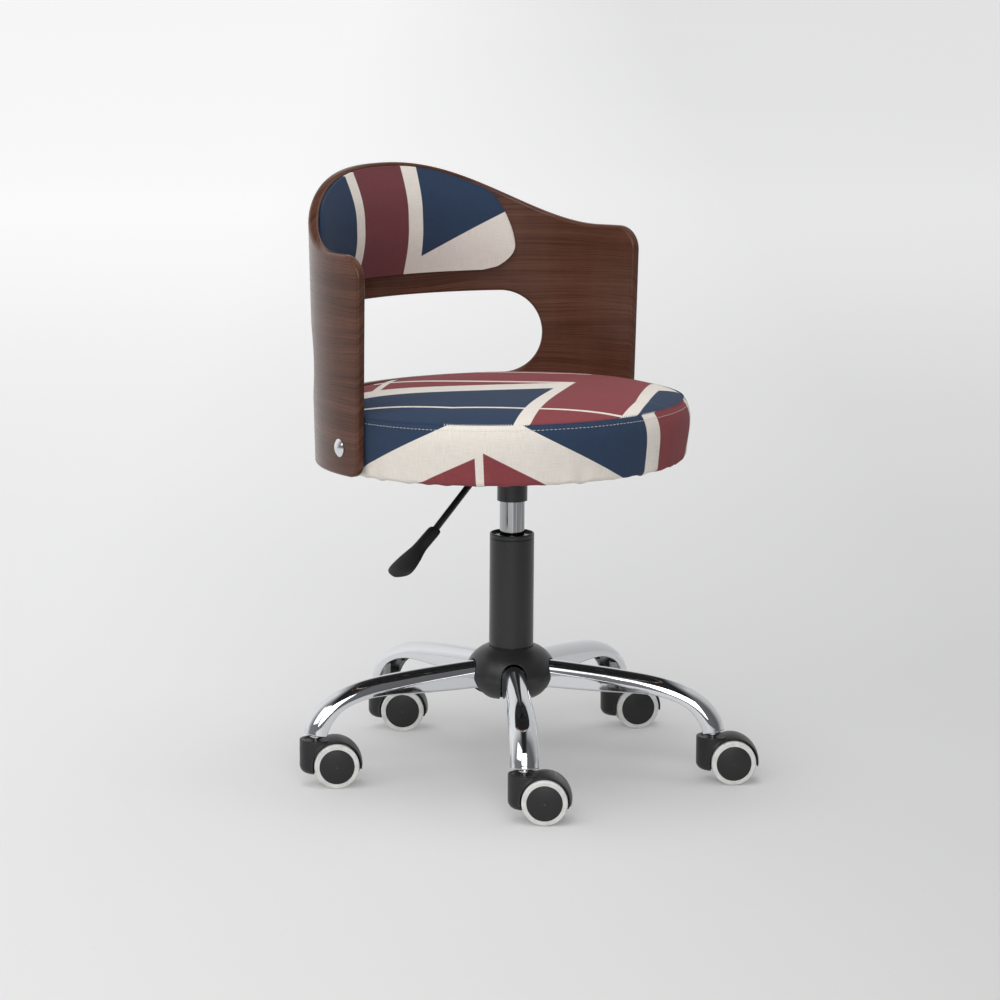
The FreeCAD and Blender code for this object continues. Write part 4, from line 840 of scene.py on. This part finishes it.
def shellHalves():
    # The sheet's outline and the window's, each as its right half from the bottom's middle to
    # the top's, in two runs that meet at the window's height.
    size = walnutShell
    perDegree = math.radians(1) * size["radius"]
    middle = (size["windowLow"] + size["windowHigh"]) / 2
    lowSide, highSide = size["lowAngle"] * perDegree, size["highAngle"] * perDegree
    foot = arcLine((lowSide - size["lowCorner"], size["low"] + size["lowCorner"]),
                   size["lowCorner"], -90, 0)
    head = arcLine((highSide - size["highCorner"], size["sideHeight"] - size["highCorner"]),
                   size["highCorner"], 0, 90)
    share = (middle - foot[-1, 1]) / (head[0, 1] - foot[-1, 1])
    beside = between(foot[-1], head[0], share)
    angle = np.linspace(size["rimSpan"], 0, 90)
    rim = places(angle * perDegree, rimHeight(angle))
    outer = [np.vstack([[(0, size["low"])], foot, [beside]]), np.vstack([[beside], head, rim])]
    half = (size["windowHigh"] - size["windowLow"]) / 2
    centre = (size["windowHalfAngle"] * perDegree - half, middle)
    window = [np.vstack([[(0, size["windowLow"])], arcLine(centre, half, -90, 0, 30)]),
              np.vstack([arcLine(centre, half, 0, 90, 30), [(0, size["windowHigh"])]])]
    return outer, window


def wholeOutline(halves, count):
    # Both halves of a mirrored outline, starting at the bottom's middle and going right.
    right = np.vstack([evenLine(run, count) for run in halves])
    top = halves[1][-1:]
    left = right[1:][::-1] * (-1, 1)
    return np.vstack([right, top, left])


def outlineNormals(line):
    # Unit normals to the left of a closed line, smoothed over its corners.
    ahead = np.roll(line, -1, axis=0) - np.roll(line, 1, axis=0)
    ahead /= np.hypot(ahead[:, 0], ahead[:, 1])[:, None]
    return places(-ahead[:, 1], ahead[:, 0])


def makeWalnutShell():
    # A loop of the sheet's section, from the window's edge out to the rim along the inner face
    # and back along the outer one, carried round both outlines at once.
    size = walnutShell
    quarter = size["columns"] // 4
    outer, window = shellHalves()
    rim = wholeOutline(outer, quarter)
    hole = wholeOutline(window, quarter)
    rimIn, holeOut = outlineNormals(rim), -outlineNormals(hole)
    soft, thick = size["edgeRound"], size["thickness"]
    turn = np.radians(np.linspace(0, 90, size["edgeSteps"]))
    inset = soft * np.append(1 - np.sin(turn), 1 - np.cos(turn))
    depth = np.append(soft * (1 - np.cos(turn)), thick - soft * (1 - np.sin(turn)))
    share = ((1 - np.cos(np.pi * np.linspace(0, 1, size["faceSteps"]))) / 2)[1:-1]
    rimEdge = rim + rimIn * inset[:, None, None]
    holeEdge = (hole + holeOut * inset[:, None, None])[::-1]
    outward = between(rimEdge[-1], holeEdge[0], share[:, None, None])
    inward = between(holeEdge[-1], rimEdge[0], share[:, None, None])
    flat = np.concatenate([rimEdge, outward, holeEdge, inward])
    deep = np.concatenate([depth, np.full(len(share), thick), depth[::-1], np.zeros(len(share))])
    points = onCone(flat, -deep[:, None])
    veneer = flat + places(0, deep)[:, None]
    mesh = gridMesh("walnut_shell_panel", seatToWorld(points), loopRows=True, loopColumns=True,
                    cloth=veneer)
    finished("walnut_shell_panel", mesh, "seat", ["walnut_shell"], "walnut", finishes["walnut"])


# Back pad

backPad = {
    "halfAngle": 47.3,
    "low": 205.5,
    "endLow": 203,
    "endHigh": 266,
    "rimGap": 4,
    "roundShare": 0.78,
    "middleDepth": 19,
    "endDepth": 6,
    "lowWall": 5,               # how thick the pad is along its lower and upper edges
    "highWall": 3,
    "riseShare": 0.45,          # how much of its height the front takes to reach its depth
    "endRound": 38,
    "shellGap": 0.3,
    "printRadius": 192,
    "endSteps": 30,             # columns over each rounded end and between the ends
    "middleSteps": 130,
    "frontSteps": 56,           # rows over the front and the back
    "backSteps": 8,
    "wallShares": (0.98, 0.7, 0.35, 0.1, 0),    # and where they lie over the side wall
}


def makeBackPad():
    # Upright closed sections carried round the shell: a back against the wood, a thin side wall,
    # and a front that rises as a quarter sine to its depth. The ends close as an ellipse.
    size = backPad
    perDegree = math.radians(1) * walnutShell["radius"]
    half, soft = size["halfAngle"] * perDegree, size["endRound"]
    tail = half - soft + soft * np.sin(np.radians(np.linspace(0, 90, size["endSteps"])))
    straight = np.linspace(-half + soft, half - soft, size["middleSteps"])[1:-1]
    run = np.concatenate([-tail[::-1], straight, tail])
    narrow = np.sqrt(np.clip(1 - (np.maximum(np.abs(run) - half + soft, 0) / soft) ** 2, 0, 1))
    share = np.abs(run) / half
    close = np.maximum(0, (share - size["roundShare"]) / (1 - size["roundShare"]))
    low = between(size["low"], size["endLow"], close ** 2)
    endTop = rimHeight(size["halfAngle"]) - size["rimGap"]
    top = rimHeight(run / perDegree) - size["rimGap"] + (size["endHigh"] - endTop) * close ** 3
    middle, tall = (low + top) / 2, (top - low) * narrow
    depth = between(size["middleDepth"], size["endDepth"], share ** 2)
    front = ((1 + np.cos(np.pi * np.linspace(0, 1, size["frontSteps"]))) / 2)[:, None]
    wall = np.array(size["wallShares"])[:, None]
    back = np.linspace(0, 1, size["backSteps"])[1:-1, None]
    level = np.concatenate([front, 0 * wall, back, 1 + 0 * wall])
    swell = np.minimum(np.minimum(level, 1 - level) / size["riseShare"], 1)
    swell[len(front):] = 0
    edge = between(size["lowWall"], size["highWall"], front)
    lowEdge, highEdge = edge[-1:], edge[:1]
    thin = np.concatenate([edge, lowEdge * wall, 0 * back, highEdge * wall[::-1]])
    inward = between(thin, depth, np.sin(np.pi / 2 * swell) * np.sqrt(narrow))
    height = middle + (level - 0.5) * tall
    points = onCone(places(run, height), inward + size["shellGap"])
    down = np.concatenate([0 * front, (wall - 1) * lowEdge, 0 * back, (1 - wall[::-1]) * highEdge])
    across = run / walnutShell["radius"] * size["printRadius"]
    mesh = gridMesh("back_pad_cover", seatToWorld(points), loopRows=True,
                    cloth=places(across, height + down))
    cover = finished("back_pad_cover", mesh, "seat", ["back_pad"], "print_fabric", padCloth)


# Pad board

padBoard = {
    "angleShare": 0.92,         # how far it is drawn in from the plain form in the frame
    "heightShare": 0.84,
}


def makePadBoard():
    # The frame's own board, drawn in along the shell and in height so that the pad covers it.
    size = padBoard
    mesh = frame["nodes"]["pad_board"].data.copy()
    place = np.zeros(len(mesh.vertices) * 3, np.float32)
    mesh.vertices.foreach_get("co", place)
    x, y, z = (place.reshape(-1, 3) / metre).T
    angle = np.arctan2(x, y - seatFrame["backShift"])
    radius = np.hypot(x, y - seatFrame["backShift"])
    middle = (z.min() + z.max()) / 2
    turned = angle * size["angleShare"]
    drawn = places(radius * np.sin(turned), radius * np.cos(turned) + seatFrame["backShift"],
                   between(middle, z, size["heightShare"]))
    mesh.vertices.foreach_set("co", (drawn * metre).astype(np.float32).ravel())
    mesh.update()
    finished("pad_board_plate", mesh, "seat", ["pad_board"], "plywood")


# Base arms

baseArm = {
    "reach": 246,
    "low": 56.9,
    "rise": 72,
    "rootHalf": 13.5,
    "tipHalf": 16,
    "wall": 2,
    "crownShare": 0.98,
    "start": 31,                # where the arm leaves the hub's sleeve
    "firstAngle": 13.9,
    "turnBetween": 72,
    "stations": 110,
    "sideSteps": 7,             # points up each side of the section and over its crown
    "crownSteps": 34,
    "topOut": (0.08, 0.25, 0.439, 0.55, 0.65, 0.735, 0.81, 0.875, 0.926, 0.963, 0.988, 1.0),
    "topUp": (1.0, 0.965, 0.917, 0.88, 0.84, 0.785, 0.705, 0.6, 0.475, 0.335, 0.19, 0.04),
    "lowOut": (0.08, 0.25, 0.431, 0.535, 0.622, 0.695, 0.757, 0.808, 0.85, 0.88, 0.902, 0.915),
    "lowUp": (0.586, 0.57, 0.563, 0.568, 0.57, 0.553, 0.51, 0.445, 0.36, 0.25, 0.13, 0.0),
}


def armSection(half, tall, inset):
    # From one foot of the arch to the other, as places across and up for each station: upright
    # sides and a half ellipse on top.
    size = baseArm
    crown = (half + inset) * size["crownShare"] - inset
    foot = 0.5 * size["wall"]
    spring = tall - inset - crown
    side = foot + np.linspace(0, 1, size["sideSteps"])[:-1, None] * (spring - foot)
    turn = np.linspace(0, np.pi, size["crownSteps"])[:, None]
    across = np.concatenate([half + 0 * side, half * np.cos(turn), -half + 0 * side])
    up = np.concatenate([side, spring + crown * np.sin(turn), side[::-1]])
    return np.stack([across, up])


def makeArms():
    # The thin pressed channel's section, a closed loop of outside, lips and inside, carried
    # along the arm's two edge lines; one mesh is turned to each arm's own angle.
    size = baseArm
    topLine = smoothLine(places(size["topOut"], size["topUp"]), size["stations"])
    lowLine = smoothLine(places(size["lowOut"], size["lowUp"]), size["stations"])
    kept = topLine[:, 0] * size["reach"] > size["start"]
    topLine, lowLine = topLine[kept], lowLine[kept]
    scale = np.array([size["reach"], size["rise"]])
    top, low = topLine * scale, lowLine * scale
    widen = (topLine[:, 0] - size["topOut"][0]) / (1 - size["topOut"][0])
    half = between(size["rootHalf"], size["tipHalf"], widen)
    tall = np.hypot(*(top - low).T)
    upward = (top - low) / tall[:, None]
    wall = size["wall"]
    outside = armSection(half, tall, 0)
    inside = armSection(half - wall, tall, wall)
    turn = np.radians([-45, -90, -135])[:, None]
    lip = wall / 2
    leftLip = np.stack([lip - half - lip * np.cos(turn), lip + lip * np.sin(turn) + 0 * half])
    rightLip = leftLip[:, ::-1] * np.array([-1, 1])[:, None, None]
    loop = np.concatenate([outside, leftLip, inside[:, ::-1], rightLip], axis=1)
    core = (outside + inside) / 2
    closing = np.concatenate([core, np.repeat(core[:, -1:], len(turn), axis=1), core[:, ::-1],
                              np.repeat(core[:, :1], len(turn), axis=1)], axis=1)
    across, up = np.concatenate([closing[..., :1], loop, closing[..., -1:]], axis=2)
    ends = np.array([0, *range(len(tall)), len(tall) - 1])
    out = low[ends, 0] + up * upward[ends, 0]
    rise = low[ends, 1] + up * upward[ends, 1] + size["low"]
    mesh = gridMesh("arm", places(out, across, rise), loopRows=True)
    for number in range(5):
        own = mesh.copy()
        angle = size["firstAngle"] + size["turnBetween"] * number
        own.transform(Matrix.Rotation(math.radians(angle), 4, "Z"))
        name = "arm_%d" % (number + 1)
        finished(name + "_pressing", own, "base", [name], "chrome", finishes["chrome"])
    bpy.data.meshes.remove(mesh)


# Caster hoods

casterHood = {
    "voxel": 0.75,
    "smoothing": 0.5,
    "smoothingRounds": 10,
}


def casterPlaces():
    # Each caster's swivel point and heading, from its joints in the frame.
    joints = {joint["name"]: joint for joint in frame["joints"]}
    for number in range(1, 6):
        x, y = joints["caster_%d_swivel" % number]["pos_m"][:2]
        axle = joints["caster_%d_left_roll" % number]["axis"]
        turn = Matrix.Rotation(math.atan2(-axle[0], axle[1]), 4, "Z")
        yield "caster_%d" % number, Matrix.Translation((x, y, 0)) @ turn


def remeshed(node, size):
    # A node's own form as one even skin with softened edges, as a moulding has.
    mesh = frame["nodes"][node].data.copy()
    weldClose(mesh)
    blank = bpy.data.objects.new("blank", mesh)
    kit.objects.link(blank)
    skin = blank.modifiers.new("skin", "REMESH")
    skin.mode = "VOXEL"
    skin.voxel_size = size["voxel"] * metre
    soften = blank.modifiers.new("soften", "SMOOTH")
    soften.factor = size["smoothing"]
    soften.iterations = size["smoothingRounds"]
    bpy.context.view_layer.update()
    ready = blank.evaluated_get(bpy.context.evaluated_depsgraph_get())
    made = bpy.data.meshes.new_from_object(ready)
    bpy.data.objects.remove(blank)
    made.materials.clear()
    made.shade_smooth()
    return made


def makeHoods():
    first = None
    for name, place in casterPlaces():
        if first is None:
            mesh = remeshed(name + "_hood", casterHood)
            first = place
        own = mesh.copy()
        own.transform(place @ first.inverted())
        finished(name + "_moulding", own, name, [name + "_hood"], "black_plastic",
                 finishes["black_plastic"])
    bpy.data.meshes.remove(mesh)


# Lever grip

leverGrip = {
    "start": (-118, 0, -49.5),  # in the seat frame, under the column's axis
    "slope": 36,
    "length": 77,
    "width": 37,
    "depth": 11,
    "along": (0, 0.06, 0.18, 0.4, 0.62, 0.82, 0.94, 1),
    "widthShares": (0.42, 0.48, 0.5, 0.55, 0.85, 1, 0.86, 0.55),
    "depthShares": (0.85, 1, 1, 0.95, 0.86, 0.76, 0.62, 0.4),
    "tailRound": 10,
    "rootRound": 2,
    "ridge": 0.4,               # the moulding's parting line stands this proud
    "ridgeWidth": 0.09,
    "stations": 80,
    "sides": 64,
}


def makeLeverGrip():
    # Flattened rings carried down the lever's slope, closed in a dome at each end.
    size = leverGrip
    shares = places(size["along"], size["widthShares"], size["depthShares"])
    line = smoothLine(shares, size["stations"])
    out = line[:, 0] * size["length"]
    fromTail, fromRoot = size["length"] - out, out
    dome = np.sqrt(1 - (1 - np.clip(fromTail / size["tailRound"], 0, 1)) ** 2)
    dome = dome * np.sqrt(1 - (1 - np.clip(fromRoot / size["rootRound"], 0, 1)) ** 2)
    wide = (line[:, 1] * size["width"] / 2 * dome)[:, None]
    deep = (line[:, 2] * size["depth"] / 2 * dome)[:, None]
    turn = np.linspace(0, 2 * np.pi, size["sides"], endpoint=False)
    ridge = dome[:, None] * size["ridge"] * np.exp(-(np.sin(turn) / size["ridgeWidth"]) ** 2)
    across = (wide + ridge) * np.cos(turn)
    through = deep * np.sin(turn)
    slope = math.radians(size["slope"])
    start = size["start"]
    x = start[0] - out[:, None] * math.cos(slope) + through * math.sin(slope)
    z = start[2] - out[:, None] * math.sin(slope) - through * math.cos(slope)
    points = seatToWorld(places(x, start[1] + across, z), backShift=0)
    mesh = gridMesh("lever_grip_paddle", points, loopColumns=True)
    finished("lever_grip_paddle", mesh, "lever", ["lever_grip"], "black_plastic", gripPlastic)


# Studio

studio = {
    "floorRadius": 24000,
    "floorTone": (0.55, 0.55, 0.55),
    "glowNear": 0.14,           # painted light: the paper's emission, by the chair and far behind it
    "glowFar": 0.705,
    "glowReach": (-2200, 6000),
    "glowFall": 0.16,           # how much of it is lost from left to right, as painted shade on the right
    "glowSpan": (-600, 600),
    "cloudWidth": 1600,
    "cloudTone": (0.985, 1.015),
    "scuffWidth": 24,
    "scuffSpan": (0.62, 0.8),
    "scuffTone": 0.95,
    "scuffBump": (0.2, 0.12),   # depth and strength
    "backdrop": (0.86, 0.865, 0.87),
    "room": (0.20, 0.20, 0.205),
    "overhead": (0.022, 0.022, 0.023),
    "roomSide": (-0.25, 0.35),  # where the bright backdrop gives way to the dark room
    "ceiling": (0.42, 0.66),
    "ceilingHalf": (0.17, 0.38),    # how far the dark ceiling reaches to the left and right
    "wallFall": (1.15, 0.6),        # the walls' tone at the far left and far right
    "lights": {                 # place, size, power in watts, tone, and whether gloss shows it
        "key_light": ((-3700, 0, 2900), 2800, 37, (1.0, 0.99, 0.97), True),
        "front_light": ((-2850, -2900, 2300), 3000, 106, (1.0, 1.0, 1.0), True),
        "top_light": ((-300, 0, 4200), 3000, 86, (1.0, 1.0, 1.0), False),
    },
    "aim": (0, 0, 330),
}


def alongView(tree, place):
    # How far a place lies to the photo's right of the chair, and how far behind it.
    bearing = math.radians(cameraView["bearing"])
    ways = [(math.cos(bearing), -math.sin(bearing), 0), (math.sin(bearing), math.cos(bearing), 0)]
    return [dotted(tree, place, way) for way in ways]


def makeFloor():
    # A wide paper floor with painted light: an emission that brightens it and softens the shadows on it, brighter
    # behind the chair and to its left.
    material, tree, shader = newMaterial("studio_paper", Roughness=0.7, Specular_IOR_Level=0.2,
                                         Emission_Color=(1, 1, 1, 1))
    look = studio
    place = objectPlace(tree)
    cloud = noise(tree, place, 1 / look["cloudWidth"], 1)
    scuff = noise(tree, place, 1 / look["scuffWidth"], 6, 0.65)
    tone = sums(tree, "MULTIPLY", ranged(tree, cloud, *noiseSpan, *look["cloudTone"]),
                ranged(tree, scuff, *look["scuffSpan"], 1.0, look["scuffTone"]))
    tree.links.new(vectors(tree, "MULTIPLY", look["floorTone"], tone), shader.inputs["Base Color"])
    right, behind = alongView(tree, place)
    # Painted light: the emission grows away from the chair and drops towards the right.
    glow = ranged(tree, behind, *look["glowReach"], look["glowNear"], look["glowFar"], "SMOOTHSTEP")
    fall = ranged(tree, right, *look["glowSpan"], 0.0, look["glowFall"])
    tree.links.new(sums(tree, "SUBTRACT", glow, fall), shader.inputs["Emission Strength"])
    bumped(tree, shader, scuff, *look["scuffBump"])
    reach = look["floorRadius"] * metre
    mesh = bpy.data.meshes.new("studio_floor")
    corners = [(-reach, -reach, 0), (reach, -reach, 0), (reach, reach, 0), (-reach, reach, 0)]
    mesh.from_pydata(corners, [], [(0, 1, 2, 3)])
    mesh.materials.append(material)
    floor = bpy.data.objects.new("studio_floor", mesh)
    kit.objects.link(floor)


def makeSky():
    # A bright backdrop behind the chair, a dim room before it and a dark strip of ceiling over
    # both, which the chrome shows as bands.
    world = bpy.data.worlds.new("studio_sky")
    bpy.context.scene.world = world
    world.use_nodes = True
    tree = world.node_tree
    look = studio
    direction = put(tree, "ShaderNodeTexCoord").outputs["Generated"]
    right, behind = alongView(tree, direction)
    rise = put(tree, "ShaderNodeSeparateXYZ", {0: direction}).outputs["Z"]
    wall = mixed(tree, ranged(tree, behind, *look["roomSide"], 0.0, 1.0), look["room"],
                 look["backdrop"])
    wall = vectors(tree, "MULTIPLY", wall, ranged(tree, right, -1, 1, *look["wallFall"]))
    above = ranged(tree, rise, *look["ceiling"], 0.0, 1.0)
    inside = ranged(tree, sums(tree, "ABSOLUTE", right), *look["ceilingHalf"], 1.0, 0.0)
    colour = mixed(tree, sums(tree, "MULTIPLY", above, inside), wall, look["overhead"])
    tree.links.new(colour, tree.nodes["Background"].inputs["Color"])


def makeLights():
    # Soft boxes that point at the chair.
    aim = Vector(studio["aim"]) * metre
    for name, (place, width, power, tone, mirrored) in studio["lights"].items():
        data = bpy.data.lights.new(name, "AREA")
        data.size = width * metre
        data.energy = power
        data.color = tone
        light = bpy.data.objects.new(name, data)
        kit.objects.link(light)
        light.location = Vector(place) * metre
        light.rotation_euler = (aim - light.location).to_track_quat("-Z", "Y").to_euler()
        light.visible_camera = False
        light.visible_glossy = mirrored


bpy.context.scene.view_settings.view_transform = "Standard"
makeCamera()
makeFloor()
makeSky()
makeLights()
print("studio ready")
dressNodes()
print("finishes on the frame's nodes")
makeSeatCushion()
makeStitches()
print("seat cushion ready")
makeWalnutShell()
print("walnut shell ready")
makeBackPad()
makePadBoard()
print("back pad ready")
makeArms()
makeHoods()
print("base ready")
makeLeverGrip()
print("lever ready")
